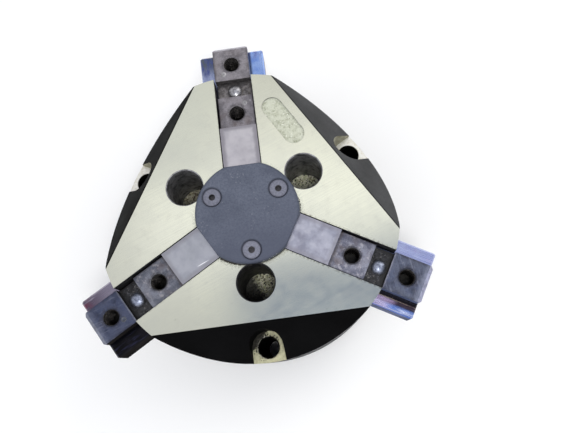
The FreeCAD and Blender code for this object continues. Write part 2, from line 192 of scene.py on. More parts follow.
def mat_top():
    # milled aluminium: cream-white, fine slanting tool marks, faint stains
    m = new("housing_milled_top")
    big = m.noise(0.035, 3, 0.5, v=m.P)
    mid = m.noise(0.16, 5, 0.6, v=m.P)
    st = streaks(m, 21, 0.02, 1.5, 3)
    st2 = streaks(m, 27, 0.03, 0.8, 2)
    fine = m.noise(2.4, 2, 0.5, v=m.P)
    c = m.mix(blend_n(m, big, 0.35, 0.65), srgb(240, 242, 221), srgb(232, 234, 216))
    c = m.mix(m.math("MULTIPLY", blend_n(m, st, 0.40, 0.68), 0.22), c, srgb(222, 224, 208))
    c = m.mix(m.math("MULTIPLY", blend_n(m, mid, 0.50, 0.74), 0.22), c, srgb(214, 214, 198))
    # small stains and nicks
    spots = m.voronoi(0.085, v=m.mapping(scale=(1, 1, 0), v=m.P))
    sp = m.math("MULTIPLY", m.maprange(spots, 0.035, 0.075, 1.0, 0.0, smooth=True), blend_n(m, m.noise(0.5, 2, v=m.P), 0.5, 0.7))
    c = m.mix(m.math("MULTIPLY", sp, 0.75), c, srgb(120, 120, 112))
    # grease and dust worked out from under the centre cover, and painted shade: a tight dark line at the cover's foot,
    # stronger towards -Y
    xyz = m.sep(m.P)
    r = m.math("SQRT", m.math("ADD", m.math("MULTIPLY", xyz[0], xyz[0]), m.math("MULTIPLY", xyz[1], xyz[1])))
    ring = m.maprange(r, 27.3, 30.5, 1.0, 0.0, smooth=True)
    low = m.maprange(xyz[1], 6.0, -18.0, 0.12, 1.0)
    dn = m.noise(0.9, 5, 0.7, v=m.P)
    dirt_and_shade = m.math("MULTIPLY", m.math("MULTIPLY", ring, low), blend_n(m, dn, 0.38, 0.62), clamp=True)
    cover_foot_shade = m.math("MULTIPLY", m.maprange(m.math("ADD", r, m.math("MULTIPLY", dn, 1.2)), 28.3, 29.1, 1.0, 0.0, smooth=True), m.maprange(xyz[1], 4.0, -10.0, 0.1, 0.95))
    dirt_and_shade = m.math("MAXIMUM", dirt_and_shade, cover_foot_shade)
    c = m.mix(dirt_and_shade, c, srgb(52, 52, 46))
    # oily grime along the edges of the three slots
    for k, a in enumerate(JAW_ANG):
        q = m.sep(m.mapping(rot=(0, 0, -math.radians(a - 90)), v=m.P))
        near = m.math("MULTIPLY", m.maprange(m.math("ABSOLUTE", q[0]), 10.5, 11.3 if k != 2 else 11.9, 1.0, 0.0, smooth=True), m.math("GREATER_THAN", q[1], 20.0))
        g = m.math("MULTIPLY", near, blend_n(m, m.noise(0.55, 5, 0.7, v=m.P), 0.44, 0.62), clamp=True)
        c = m.mix(m.math("MULTIPLY", g, 0.60 if k == 2 else 0.35), c, srgb(104, 96, 78) if k == 2 else srgb(120, 122, 112))
    m.to(c, "Base Color")
    m.to(m.math("SUBTRACT", 1.0, m.math("MULTIPLY", dirt_and_shade, 0.8)), "Metallic")
    rg = m.maprange(m.math("ADD", m.math("MULTIPLY", mid, 0.5), m.math("MULTIPLY", st, 0.5)), 0.3, 0.7, 0.10, 0.19)
    m.to(m.math("ADD", rg, m.math("MULTIPLY", dirt_and_shade, 0.4)), "Roughness")
    h = m.math("ADD", m.math("MULTIPLY", st, 0.7), m.math("ADD", m.math("MULTIPLY", st2, 0.4), m.math("MULTIPLY", fine, 0.25)))
    m.to(m.bump(h, 0.000005, 0.7), "Normal")
    return m.m


def mat_anodised(name="housing_black_anodised", tint=(20, 22, 25), rough=0.44, sheen=0.14):
    m = new(name)
    big = m.noise(0.05, 4, 0.55, v=m.P)
    fine = m.noise(3.2, 2, 0.5, v=m.P)
    st = streaks(m, 3, 0.02, 0.9, 3, z=0.9)
    a = srgb(*tint)
    b = srgb(*[v * 0.72 for v in tint])
    c = m.mix(blend_n(m, big, 0.35, 0.65), a, b)
    wear_and_highlight = m.math("MULTIPLY", blend_n(m, m.noise(0.35, 6, 0.7, v=m.P), 0.62, 0.78), 0.35)
    c = m.mix(wear_and_highlight, c, srgb(*[v * 2.0 for v in tint]))
    # tiny rubbed specks
    sp = m.voronoi(0.30, v=m.P)
    spk = m.math("MULTIPLY", m.maprange(sp, 0.03, 0.08, 1.0, 0.0), blend_n(m, m.noise(0.2, 1, v=m.P), 0.55, 0.66))
    c = m.mix(m.math("MULTIPLY", spk, 0.5), c, srgb(*[v * 3.2 for v in tint]))
    m.to(c, "Base Color")
    m.set(Metallic=0.0, IOR=1.5)
    m.b.inputs["Specular IOR Level"].default_value = sheen
    m.to(m.maprange(m.math("ADD", m.math("MULTIPLY", big, 0.6), m.math("MULTIPLY", st, 0.4)), 0.3, 0.7, rough - 0.07, rough + 0.08), "Roughness")
    h = m.math("ADD", m.math("MULTIPLY", fine, 0.5), m.math("MULTIPLY", st, 0.7))
    m.to(m.bump(h, 0.000018, 0.8), "Normal")
    return m.m


def mat_wall(name="housing_turned_wall", sheen=0.035):
    # the turned outside of the body: black anodised, level tool rings, rubbed and scratched
    m = new(name)
    rings = m.noise(1.0, 3, 0.7, v=m.mapping(scale=(0.012, 0.012, 1.9), v=m.P))
    big = m.noise(0.035, 4, 0.6, v=m.P)
    oil = m.noise(0.11, 5, 0.65, v=m.mapping(scale=(1, 1, 0.35), v=m.P))
    c = m.mix(blend_n(m, big, 0.35, 0.65), srgb(29, 30, 32), srgb(20, 21, 23))
    c = m.mix(m.math("MULTIPLY", blend_n(m, rings, 0.50, 0.70), 0.55), c, srgb(45, 46, 48))
    c = m.mix(m.math("MULTIPLY", blend_n(m, oil, 0.52, 0.70), 0.6), c, srgb(16, 16, 17))
    scr = m.noise(1.0, 3, 0.6, v=m.mapping(scale=(0.5, 0.5, 0.06), v=m.P))
    c = m.mix(m.math("MULTIPLY", blend_n(m, scr, 0.70, 0.78), 0.5), c, srgb(86, 86, 88))
    sp = m.voronoi(0.16, v=m.P)
    spk = m.math("MULTIPLY", m.maprange(sp, 0.03, 0.07, 1.0, 0.0), blend_n(m, m.noise(0.12, 1, v=m.P), 0.50, 0.60))
    c = m.mix(m.math("MULTIPLY", spk, 0.7), c, srgb(110, 110, 112))
    # worn bright along the bottom rim
    z = m.sep(m.P)[2]
    foot = m.math("MULTIPLY", m.maprange(z, 1.4, 0.3, 0.0, 1.0, smooth=True), blend_n(m, m.noise(0.5, 4, 0.7, v=m.P), 0.36, 0.60))
    c = m.mix(m.math("MULTIPLY", foot, 0.6), c, srgb(150, 150, 150))
    m.to(c, "Base Color")
    m.set(Metallic=0.0, IOR=1.5)
    m.b.inputs["Specular IOR Level"].default_value = sheen
    m.to(m.maprange(m.math("ADD", m.math("MULTIPLY", oil, 0.6), m.math("MULTIPLY", rings, 0.4)), 0.3, 0.7, 0.30, 0.56), "Roughness")
    m.to(m.bump(m.math("ADD", rings, m.math("MULTIPLY", m.noise(2.2, 3, v=m.P), 0.4)), 0.00003, 0.8), "Normal")
    return m.m


def mat_spotface(name="housing_bare_spotface", tone=(236, 234, 222), tone_b=(214, 208, 184), metal=0.85):
    # counter-bored seats: bright, with concentric tool rings round each hole
    m = new(name)
    xyz = m.sep(m.P)
    rings = None
    for a in SIDE_ANG:
        cx, cy = 69.2 * math.cos(math.radians(a)), 69.2 * math.sin(math.radians(a))
        dx, dy = m.math("SUBTRACT", xyz[0], cx), m.math("SUBTRACT", xyz[1], cy)
        d = m.math("SQRT", m.math("ADD", m.math("MULTIPLY", dx, dx), m.math("MULTIPLY", dy, dy)))
        rings = d if rings is None else m.math("MINIMUM", rings, d)
    wob = m.math("ADD", m.math("MULTIPLY", rings, 9.0), m.math("MULTIPLY", m.noise(0.7, 3, v=m.P), 5.0))
    w = m.math("SINE", wob)
    blot = m.noise(0.5, 5, 0.65, v=m.P)
    c = m.mix(blend_n(m, blot, 0.4, 0.7), srgb(*tone), srgb(*tone_b))
    c = m.mix(m.math("MULTIPLY", blend_n(m, m.noise(1.4, 5, 0.7, v=m.P), 0.60, 0.78), 0.8), c, srgb(120, 112, 84))
    rim = m.maprange(rings, 5.5, 6.9, 1.0, 0.0, smooth=True)
    c = m.mix(m.math("MULTIPLY", rim, 0.55), c, srgb(92, 90, 80))
    # oil-black corner of the seat on the -Y side
    dd = m.math("ADD", m.math("MULTIPLY", xyz[0], 0.75), m.math("MULTIPLY", m.math("ADD", xyz[1], 69.2), -0.66))
    dd = m.math("ADD", dd, m.math("MULTIPLY", m.math("SUBTRACT", m.noise(0.8, 4, 0.7, v=m.P), 0.5), 4.0))
    soot = m.math("MULTIPLY", m.maprange(dd, -5.0, -6.3, 0.0, 1.0, smooth=True), m.math("LESS_THAN", xyz[1], -55.0))
    c = m.mix(m.math("MULTIPLY", soot, 0.96), c, srgb(14, 13, 12))
    ring3 = m.math("MULTIPLY", m.maprange(m.math("ADD", rings, m.math("MULTIPLY", m.noise(1.3, 4, 0.7, v=m.P), 1.2)), 6.0, 7.3, 1.0, 0.0, smooth=True), m.math("LESS_THAN", xyz[1], -55.0))
    c = m.mix(m.math("MULTIPLY", ring3, 0.7), c, srgb(46, 44, 36))
    m.to(c, "Base Color")
    clean = m.math("SUBTRACT", 1.0, m.math("MAXIMUM", soot, m.math("MULTIPLY", ring3, 0.6)), clamp=True)
    m.to(m.math("MULTIPLY", clean, metal), "Metallic")
    m.b.inputs["Specular IOR Level"].default_value = 0.1
    m.to(m.maprange(blot, 0.3, 0.7, 0.34, 0.5), "Roughness")
    m.to(m.bump(m.math("ADD", m.math("MULTIPLY", w, 0.3), blot), 0.00004, 0.7), "Normal")
    return m.m


def mat_label():
    # shallow blank recess: matt, mottled, chalky residue in it
    m = new("housing_label_recess")
    n1 = m.noise(0.30, 4, 0.6, v=m.P)
    n2 = m.noise(1.1, 5, 0.75, v=m.P)
    n3 = m.noise(0.9, 5, 0.8, v=m.mapping(loc=(17, 3, 8), v=m.P))
    c = m.mix(blend_n(m, n1, 0.35, 0.65), srgb(198, 201, 184), srgb(180, 183, 163))
    zone = m.maprange(n1, 0.42, 0.58, 0.15, 1.0, smooth=True)
    c = m.mix(m.math("MULTIPLY", m.math("MULTIPLY", blend_n(m, n2, 0.52, 0.60), zone), 0.85), c, srgb(132, 136, 116))
    c = m.mix(m.math("MULTIPLY", m.math("MULTIPLY", blend_n(m, n3, 0.55, 0.62), zone), 0.9), c, srgb(240, 242, 232))
    m.to(c, "Base Color")
    m.set(Metallic=0.35)
    m.to(m.maprange(n2, 0.3, 0.7, 0.45, 0.7), "Roughness")
    m.to(m.bump(m.math("ADD", n1, n2), 0.00010, 1.0), "Normal")
    return m.m


def mat_bore(name, tint, rough=0.4, metallic=0.9):
    # turned or milled inner faces with grime
    m = new(name)
    xyz = m.sep(m.P)
    lines = m.math("SINE", m.math("ADD", m.math("MULTIPLY", xyz[2], 7.0), m.math("MULTIPLY", m.noise(0.3, 2, v=m.P), 4.0)))
    n = m.noise(0.25, 5, 0.65, v=m.P)
    c = m.mix(blend_n(m, n, 0.38, 0.66), srgb(*tint), srgb(*[v * 0.55 for v in tint]))
    m.to(c, "Base Color")
    m.set(Metallic=metallic)
    m.to(m.maprange(n, 0.3, 0.7, rough - 0.08, rough + 0.15), "Roughness")
    m.to(m.bump(m.math("ADD", m.math("MULTIPLY", lines, 0.3), n), 0.00003, 0.6), "Normal")
    return m.m


def mat_cover():
    # hard-coated cover: matt blue-grey with a fine speckle and faint wiping marks
    m = new("cover_blue_grey_coat")
    n1 = m.noise(0.07, 4, 0.5, v=m.P)
    grain = m.noise(0.95, 4, 0.8, v=m.P)
    sp = m.voronoi(0.7, v=m.P)
    c = m.mix(blend_n(m, n1, 0.35, 0.65), srgb(93, 99, 114), srgb(80, 86, 101))
    c = m.mix(m.math("MULTIPLY", blend_n(m, grain, 0.42, 0.62), 0.62), c, srgb(66, 71, 88))
    c = m.mix(m.math("MULTIPLY", blend_n(m, m.noise(1.1, 3, 0.7, v=m.mapping(loc=(7, 21, 2), v=m.P)), 0.56, 0.68), 0.22), c, srgb(118, 123, 137))
    speck = m.math("MULTIPLY", m.maprange(sp, 0.14, 0.34, 1.0, 0.0), blend_n(m, m.noise(0.12, 2, v=m.P), 0.55, 0.64))
    c = m.mix(m.math("MULTIPLY", speck, 0.34), c, srgb(150, 154, 164))
    xyz = m.sep(m.P)
    r = m.math("SQRT", m.math("ADD", m.math("MULTIPLY", xyz[0], xyz[0]), m.math("MULTIPLY", xyz[1], xyz[1])))
    # painted shade: darker towards the lower left (-Y side)
    c = m.mix(m.maprange(m.math("SUBTRACT", xyz[1], m.math("MULTIPLY", xyz[0], 0.3)), 8.0, -26.0, 0.0, 0.75), c, srgb(70, 75, 92))
    for a_ in SIDE_ANG:
        dx_, dy_ = m.math("SUBTRACT", xyz[0], 20.4 * math.cos(math.radians(a_))), m.math("SUBTRACT", xyz[1], 20.4 * math.sin(math.radians(a_)))
        d_ = m.math("SQRT", m.math("ADD", m.math("MULTIPLY", dx_, dx_), m.math("MULTIPLY", dy_, dy_)))
        c = m.mix(m.math("MULTIPLY", m.maprange(d_, 4.9, 6.0, 1.0, 0.0, smooth=True), 0.85), c, srgb(44, 48, 60))
    # painted shade: a darker band round the cover's rim
    edge = m.math("MULTIPLY", m.maprange(r, 25.6, 27.4, 0.0, 1.0, smooth=True), m.maprange(m.noise(0.7, 4, 0.7, v=m.P), 0.3, 0.6, 0.5, 1.0))
    c = m.mix(m.math("MULTIPLY", edge, 0.65), c, srgb(56, 62, 76))
    m.to(c, "Base Color")
    m.set(Metallic=0.35)
    m.to(m.maprange(grain, 0.3, 0.7, 0.46, 0.60), "Roughness")
    m.to(m.bump(m.math("ADD", m.math("MULTIPLY", grain, 0.6), m.math("MULTIPLY", m.noise(1.2, 3, v=m.P), 0.5)), 0.00003, 0.8), "Normal")
    return m.m


def mat_screw(name, base=(137, 139, 152), dark=(92, 92, 106), centres=None, turn=0.0):
    # turned heads: fine circular marks round each screw's own axis
    m = new(name, turn)
    n = m.noise(0.9, 5, 0.65, v=m.P)
    c = m.mix(blend_n(m, n, 0.38, 0.68), srgb(*base), srgb(*[v * 0.86 for v in base]))
    c = m.mix(m.math("MULTIPLY", blend_n(m, m.noise(2.2, 4, 0.7, v=m.P), 0.58, 0.75), 0.6), c, srgb(*dark))
    h = n
    if centres:
        xyz = m.sep(m.P)
        d = None
        for cx, cy in centres:
            dx, dy = m.math("SUBTRACT", xyz[0], cx), m.math("SUBTRACT", xyz[1], cy)
            dd = m.math("SQRT", m.math("ADD", m.math("MULTIPLY", dx, dx), m.math("MULTIPLY", dy, dy)))
            d = dd if d is None else m.math("MINIMUM", d, dd)
        h = m.math("ADD", n, m.math("MULTIPLY", m.math("SINE", m.math("MULTIPLY", d, 22.0)), 0.25))
        rim = m.maprange(d, 3.9, 4.7, 0.0, 1.0, smooth=True)
        c = m.mix(m.math("MULTIPLY", rim, 0.45), c, srgb(70, 70, 84))
        # painted shade in the socket of each head
        socket_shade = m.maprange(d, 1.9, 1.6, 0.0, 1.0, smooth=True)
        c = m.mix(m.math("MULTIPLY", socket_shade, 0.85), c, srgb(56, 53, 50))
    m.to(c, "Base Color")
    m.set(Metallic=0.9)
    m.to(m.maprange(n, 0.3, 0.7, 0.30, 0.46), "Roughness")
    m.to(m.bump(h, 0.00003, 0.7), "Normal")
    return m.m


BRIGHT_LINE_X = 11.5


def mat_land(i, turn):
    # sliding land: clean lavender-grey in the middle, darker along its edges
    m = new("jaw_%d_land" % i, turn)
    xyz = m.sep(m.P)
    n = m.noise(0.10, 4, 0.55, v=m.P)
    mott = m.noise(0.14 if i == 3 else 0.2, 4, 0.5, v=m.P)
    st = streaks(m, 88, 0.02, 0.9, 3)
    ax = m.math("ABSOLUTE", xyz[0])
    wob = m.math("MULTIPLY", m.math("SUBTRACT", m.noise(0.25, 3, v=m.P), 0.5), 1.6)
    edge = m.maprange(m.math("ADD", ax, wob), 6.9, 8.9, 0.0, 1.0, smooth=True)
    end = m.maprange(m.math("ADD", xyz[1], wob), 46.2, 48.4, 0.0, 1.0, smooth=True)
    band = m.math("MAXIMUM", edge, end)
    light, dim = {1: ((203, 200, 204), (186, 183, 188)), 2: ((180, 182, 189), (165, 168, 175)), 3: ((184, 185, 197), (158, 160, 175))}[i]
    c = m.mix(blend_n(m, n, 0.35, 0.65), srgb(*light), srgb(*dim))
    c = m.mix(m.math("MULTIPLY", blend_n(m, mott, 0.42, 0.72), {1: 0.12, 2: 0.28, 3: 0.7}[i]), c, srgb(150, 150, 166))
    if i == 3:
        pat = m.noise(0.17, 4, 0.55, v=m.mapping(loc=(13, 5, 0), v=m.P))
        c = m.mix(m.math("MULTIPLY", blend_n(m, pat, 0.47, 0.66), 0.45), c, srgb(118, 118, 132))
        c = m.mix(m.math("MULTIPLY", blend_n(m, pat, 0.48, 0.34), 0.40), c, srgb(206, 206, 214))
    c = m.mix(m.math("MULTIPLY", band, 0.75 if i == 1 else 0.5), c, srgb(140, 137, 144))
    if i == 2:
        # one bright line near the cover
        ln = m.math("MULTIPLY", m.maprange(m.math("ABSOLUTE", m.math("ADD", xyz[0], m.math("ADD", BRIGHT_LINE_X, m.math("MULTIPLY", xyz[1], -0.12)))), 0.12, 0.34, 1.0, 0.0, smooth=True),
                    m.math("MULTIPLY", m.maprange(xyz[1], 30.5, 33.5), m.maprange(xyz[1], 38.0, 36.0)))
        c = m.mix(ln, c, srgb(250, 250, 252))
    m.to(c, "Base Color")
    m.set(Metallic=0.92)
    m.to(m.maprange(m.math("ADD", m.math("MULTIPLY", st, 0.5), m.math("MULTIPLY", mott, 0.5)), 0.3, 0.7, 0.27, 0.42), "Roughness")
    m.to(m.bump(m.math("ADD", m.math("MULTIPLY", st, 0.6), m.math("MULTIPLY", mott, 0.4)), 0.00002, 0.7), "Normal")
    return m.m


def mat_block(i, turn):
    # block tops: mottled grey steel with brownish handling and rust stains
    m = new("jaw_%d_block" % i, turn)
    tone = {1: ((150, 146, 151), (114, 111, 116)), 2: ((126, 129, 140), (88, 92, 104)), 3: ((132, 134, 148), (90, 92, 108))}[i]
    n1 = m.noise(0.20, 6, 0.65, v=m.P)
    n2 = m.noise(0.75, 6, 0.78, v=m.P)
    n3 = m.noise(0.13, 3, 0.5, v=m.mapping(loc=(31, 7, 3), v=m.P))
    n4 = m.noise(1.9, 4, 0.8, v=m.P)
    xyz = m.sep(m.P)
    c = m.mix(blend_n(m, n1, 0.38, 0.64), srgb(*tone[0]), srgb(*tone[1]))
    c = m.mix(m.math("MULTIPLY", blend_n(m, n2, 0.56, 0.74), 0.75), c, srgb(72, 68, 72))
    c = m.mix(m.math("MULTIPLY", blend_n(m, m.noise(0.5, 5, 0.6, v=m.mapping(loc=(5, 50, 0), v=m.P)), 0.58, 0.74), 0.6), c, srgb(176, 172, 176))
    c = m.mix(m.math("MULTIPLY", blend_n(m, n4, 0.55, 0.66), 0.45), c, srgb(66, 63, 66))
    c = m.mix(m.math("MULTIPLY", blend_n(m, n4, 0.44, 0.34), 0.30), c, srgb(186, 182, 186))
    # dark rim of grease along the block's long edges
    rimx = m.math("MULTIPLY", m.maprange(m.math("ABSOLUTE", xyz[0]), 8.6, 9.9, 0.0, 1.0, smooth=True), blend_n(m, n2, 0.30, 0.55))
    c = m.mix(m.math("MULTIPLY", rimx, 0.55), c, srgb(72, 70, 74))
    # brown stains, mostly on the inner block and towards its inner edge
    inner = m.maprange(xyz[1], 62.0, 50.0, 0.25, 1.0)
    st = m.math("MULTIPLY", blend_n(m, n3, 0.48, 0.64), inner, clamp=True)
    c = m.mix(m.math("MULTIPLY", st, 0.6), c, srgb(104, 92, 88) if i != 2 else srgb(96, 84, 82))
    if i != 1:
        # worn light patches and a brown-black line of old grease on the inner block
        pale = m.math("MULTIPLY", blend_n(m, m.noise(0.34, 5, 0.7, v=m.mapping(loc=(23, 5, 4), v=m.P)), 0.52, 0.66), m.maprange(xyz[1], 68.0, 66.5))
        c = m.mix(m.math("MULTIPLY", pale, 0.55), c, srgb(172, 168, 170) if i == 2 else srgb(186, 184, 190))
        old = m.math("MULTIPLY", m.maprange(m.math("ADD", xyz[1], m.math("MULTIPLY", n2, 2.0)), 52.4, 50.6, 0.0, 1.0, smooth=True), m.maprange(xyz[1], 48.5, 49.5))
        c = m.mix(m.math("MULTIPLY", old, 0.6), c, srgb(66, 58, 56))
    if i != 1:
        outer = m.maprange(xyz[1], 79.0, 80.0)
        c = m.mix(outer, c, (0.43, 0.47, 0.54) if i == 3 else (0.37, 0.41, 0.56), "MULTIPLY")
        cloud = m.noise(0.22, 5, 0.62, v=m.mapping(loc=(3, 61, 9), v=m.P))
        c = m.mix(m.math("MULTIPLY", m.math("MULTIPLY", outer, blend_n(m, cloud, 0.50, 0.66)), 0.45), c, srgb(66, 76, 104))
        # scrapes, and a paler band towards the outer end: painted highlight on the rounded end
        sc = streaks(m, 35 if i == 3 else 80, 0.10, 1.1, 3)
        c = m.mix(m.math("MULTIPLY", m.math("MULTIPLY", outer, blend_n(m, sc, 0.56, 0.70)), 0.22), c, srgb(160, 165, 184))
        c = m.mix(m.math("MULTIPLY", m.math("MULTIPLY", outer, blend_n(m, sc, 0.44, 0.34)), 0.28), c, srgb(46, 50, 64))
        wear_and_highlight = m.math("MULTIPLY", m.maprange(xyz[1], 94.6, 98.0, 0.0, 1.0, smooth=True), m.maprange(m.noise(0.35, 4, 0.7, v=m.P), 0.30, 0.60, 0.25, 1.0))
        c = m.mix(m.math("MULTIPLY", wear_and_highlight, 0.45), c, srgb(160, 165, 186) if i == 3 else srgb(134, 139, 158))
    # dark halo round the tapped holes
    halo = None
    for rho in (58.7, 88.9):
        dy = m.math("SUBTRACT", xyz[1], rho)
        d = m.math("SQRT", m.math("ADD", m.math("MULTIPLY", xyz[0], xyz[0]), m.math("MULTIPLY", dy, dy)))
        halo = d if halo is None else m.math("MINIMUM", halo, d)
    hl = m.math("MULTIPLY", m.maprange(halo, 5.0, 6.6, 1.0, 0.0, smooth=True), blend_n(m, n2, 0.35, 0.6))
    c = m.mix(m.math("MULTIPLY", hl, 0.55), c, srgb(62, 60, 66))
    m.to(c, "Base Color")
    m.set(Metallic=0.8)
    m.to(m.maprange(m.math("ADD", m.math("MULTIPLY", n1, 0.5), m.math("MULTIPLY", n2, 0.5)), 0.35, 0.65, 0.34, 0.58), "Roughness")
    m.to(m.bump(m.math("ADD", n1, n2), 0.00006, 0.8), "Normal")
    return m.m


def mat_grime(i, turn):
    # cross groove: oil-black grime over steel, brown where it has dried; on jaws 2 and 3 the darker tone is partly
    # painted shade in the groove
    m = new("jaw_%d_groove" % i, turn)
    n1 = m.noise(0.45, 6, 0.7, v=m.P)
    n2 = m.noise(1.6, 5, 0.7, v=m.P)
    xyz = m.sep(m.P)
    if i == 1:
        lo_, hi_, gr_ = (134, 130, 131), (82, 79, 80), 0.7
    else:
        lo_, hi_, gr_ = (50, 50, 54), (20, 20, 23), 0.5
    c = m.mix(blend_n(m, n1, 0.4, 0.62), srgb(*lo_), srgb(*hi_))
    c = m.mix(m.math("MULTIPLY", blend_n(m, n2, 0.54, 0.66), gr_), c, srgb(*((128, 118, 108) if i == 1 else (116, 120, 132))))
    c = m.mix(m.math("MULTIPLY", blend_n(m, m.noise(0.9, 4, 0.6, v=m.mapping(loc=(9, 2, 0), v=m.P)), 0.58, 0.70), 0.6), c, srgb(140, 137, 136))
    # painted shadow against the outer block and in the groove's corners
    groove_shadow = m.math("MAXIMUM", m.maprange(xyz[1], 76.2, 78.6, 0.0, 1.0, smooth=True), m.maprange(m.math("ABSOLUTE", xyz[0]), 7.6, 9.8, 0.0, 0.8, smooth=True))
    c = m.mix(m.math("MULTIPLY", groove_shadow, 0.9 if i != 1 else 0.6), c, srgb(14, 14, 16))
    m.to(c, "Base Color")
    m.set(Metallic=0.25)
    m.to(m.maprange(n2, 0.3, 0.7, 0.35, 0.75), "Roughness")
    m.to(m.bump(m.math("ADD", n1, m.math("MULTIPLY", n2, 0.7)), 0.00012, 1.0), "Normal")
    return m.m


def mat_flange(i, turn):
    # ground guide flange with lengthwise grinding streaks; its blue, violet, plum and near-black tones, and the way the
    # two sides of a jaw differ, are painted reflections, highlights and shade
    m = new("jaw_%d_flange" % i, turn)
    xyz = m.sep(m.P)
    ax = m.math("ABSOLUTE", xyz[0])
    n1 = m.noise(0.16, 4, 0.55, v=m.P)
    st = streaks(m, 90, 0.03, 1.3, 3)
    st2 = streaks(m, 90, 0.05, 0.7, 4)
    n2 = m.noise(0.4, 4, 0.6, v=m.mapping(scale=(1, 0.35, 1), v=m.P))
    n3 = m.noise(0.22, 5, 0.6, v=m.mapping(loc=(3, 40, 0), v=m.P))
    if i == 1:
        pos = m.mix(blend_n(m, n1, 0.35, 0.65), srgb(160, 190, 246), srgb(124, 156, 226))
        pos = m.mix(m.math("MULTIPLY", blend_n(m, st2, 0.52, 0.68), 0.6), pos, srgb(190, 206, 244))
        pos = m.mix(m.math("MULTIPLY", m.maprange(xyz[1], 93, 98, 0.0, 0.8, smooth=True), blend_n(m, n3, 0.45, 0.6)), pos, srgb(92, 84, 160))
        neg = m.mix(m.maprange(xyz[1], 84, 95, 0.0, 1.0, smooth=True), srgb(166, 176, 210), srgb(96, 104, 116))
        neg = m.mix(m.math("MULTIPLY", blend_n(m, n2, 0.42, 0.62), m.maprange(xyz[1], 85.0, 90.0, 0.3, 0.95, smooth=True)), neg, srgb(84, 96, 150))
        neg = m.mix(m.math("MULTIPLY", blend_n(m, n3, 0.54, 0.68), 0.6), neg, srgb(62, 72, 124))
    elif i == 3:
        neg = m.mix(blend_n(m, n1, 0.35, 0.65), srgb(186, 194, 230), srgb(166, 174, 216))
        neg = m.mix(m.math("MULTIPLY", blend_n(m, st2, 0.50, 0.70), 0.35), neg, srgb(196, 202, 226))
        neg = m.mix(m.math("MULTIPLY", blend_n(m, n3, 0.50, 0.66), 0.35), neg, srgb(178, 170, 208))
        pos = m.mix(m.maprange(m.math("ADD", ax, m.math("MULTIPLY", n2, 1.4)), 14.8, 16.4, 0.0, 1.0, smooth=True), srgb(62, 52, 62), srgb(104, 132, 196))
        # painted highlight along the streaks towards the outer edge
        streak_highlight = m.math("MULTIPLY", m.maprange(ax, 14.4, 16.0, 0.15, 1.0, smooth=True), blend_n(m, st2, 0.48, 0.60))
        pos = m.mix(m.math("MULTIPLY", streak_highlight, 0.75), pos, srgb(206, 212, 236))
        near = m.math("MULTIPLY", m.maprange(xyz[1], 88.5, 81.5, 0.0, 0.9, smooth=True), m.maprange(ax, 12.2, 13.6, 0.0, 1.0, smooth=True))
        pos = m.mix(near, pos, srgb(196, 184, 214))
        pos = m.mix(m.math("MULTIPLY", m.maprange(ax, 12.6, 13.2, 0.0, 1.0, smooth=True), m.math("MULTIPLY", m.maprange(ax, 15.4, 14.4, 0.0, 1.0, smooth=True), m.maprange(xyz[1], 90.0, 86.0, 0.0, 0.7, smooth=True))), pos, srgb(150, 128, 160))
        line = m.math("MULTIPLY", m.maprange(ax, 12.1, 12.35, 0.0, 1.0, smooth=True), m.maprange(ax, 12.75, 12.5, 0.0, 1.0, smooth=True))
        pos = m.mix(m.math("MULTIPLY", line, m.maprange(xyz[1], 96.0, 84.0, 0.2, 0.6)), pos, srgb(176, 158, 138))
        # painted shadow band next to the neck
        pos = m.mix(m.maprange(ax, 12.3, 11.9, 0.0, 0.95, smooth=True), pos, srgb(26, 24, 27))
        pos = m.mix(m.maprange(ax, 17.4, 18.2, 0.0, 0.8, smooth=True), pos, srgb(70, 98, 176))
    else:
        pos = m.mix(m.maprange(xyz[1], 82, 97, 0.0, 1.0, smooth=True), srgb(143, 137, 153), srgb(101, 90, 107))
        pos = m.mix(m.math("MULTIPLY", m.maprange(xyz[1], 93, 99, 0.0, 0.7, smooth=True), blend_n(m, n2, 0.42, 0.60)), pos, srgb(124, 62, 84))
        pos = m.mix(m.math("MULTIPLY", blend_n(m, st2, 0.54, 0.68), 0.6), pos, srgb(196, 190, 204))
        neg = m.mix(blend_n(m, n1, 0.35, 0.65), srgb(34, 33, 38), srgb(24, 24, 27))
        neg = m.mix(m.math("MULTIPLY", blend_n(m, st2, 0.54, 0.66), 0.55), neg, srgb(66, 68, 98))
    side = m.math("GREATER_THAN", xyz[0], 0.0)
    c = m.mix(side, neg, pos)
    # painted shadow along the foot of the neck
    foot = m.maprange(ax, 10.3, 11.7, 1.0, 0.0, smooth=True)
    c = m.mix(m.math("MULTIPLY", foot, 0.75), c, srgb(40, 40, 50))
    m.to(c, "Base Color")
    m.set(Metallic=0.95)
    m.to(m.maprange(m.math("ADD", m.math("MULTIPLY", st, 0.6), m.math("MULTIPLY", n1, 0.4)), 0.3, 0.7, 0.18, 0.34), "Roughness")
    m.to(m.bump(st, 0.000010, 0.6), "Normal")
    return m.m


def mat_bevel(i, turn):
    # bevelled end and corners of a jaw: brighter as painted highlight, with darker scuffs along the edge
    m = new("jaw_%d_rubbed_bevel" % i, turn)
    tone = {1: (176, 172, 182), 2: (122, 126, 142), 3: (174, 176, 202)}[i]
    n = m.noise(0.5, 5, 0.65, v=m.P)
    n2 = m.noise(1.5, 4, 0.7, v=m.P)
    c = m.mix(blend_n(m, n, 0.36, 0.66), srgb(*tone), srgb(*[v * 0.8 for v in tone]))
    c = m.mix(m.math("MULTIPLY", blend_n(m, n2, 0.58, 0.72), 0.6), c, srgb(*[v * 0.55 for v in tone]))
    m.to(c, "Base Color")
    m.set(Metallic=0.85)
    m.to(m.maprange(n2, 0.3, 0.7, 0.30, 0.48), "Roughness")
    m.to(m.bump(n2, 0.00003, 0.7), "Normal")
    return m.m


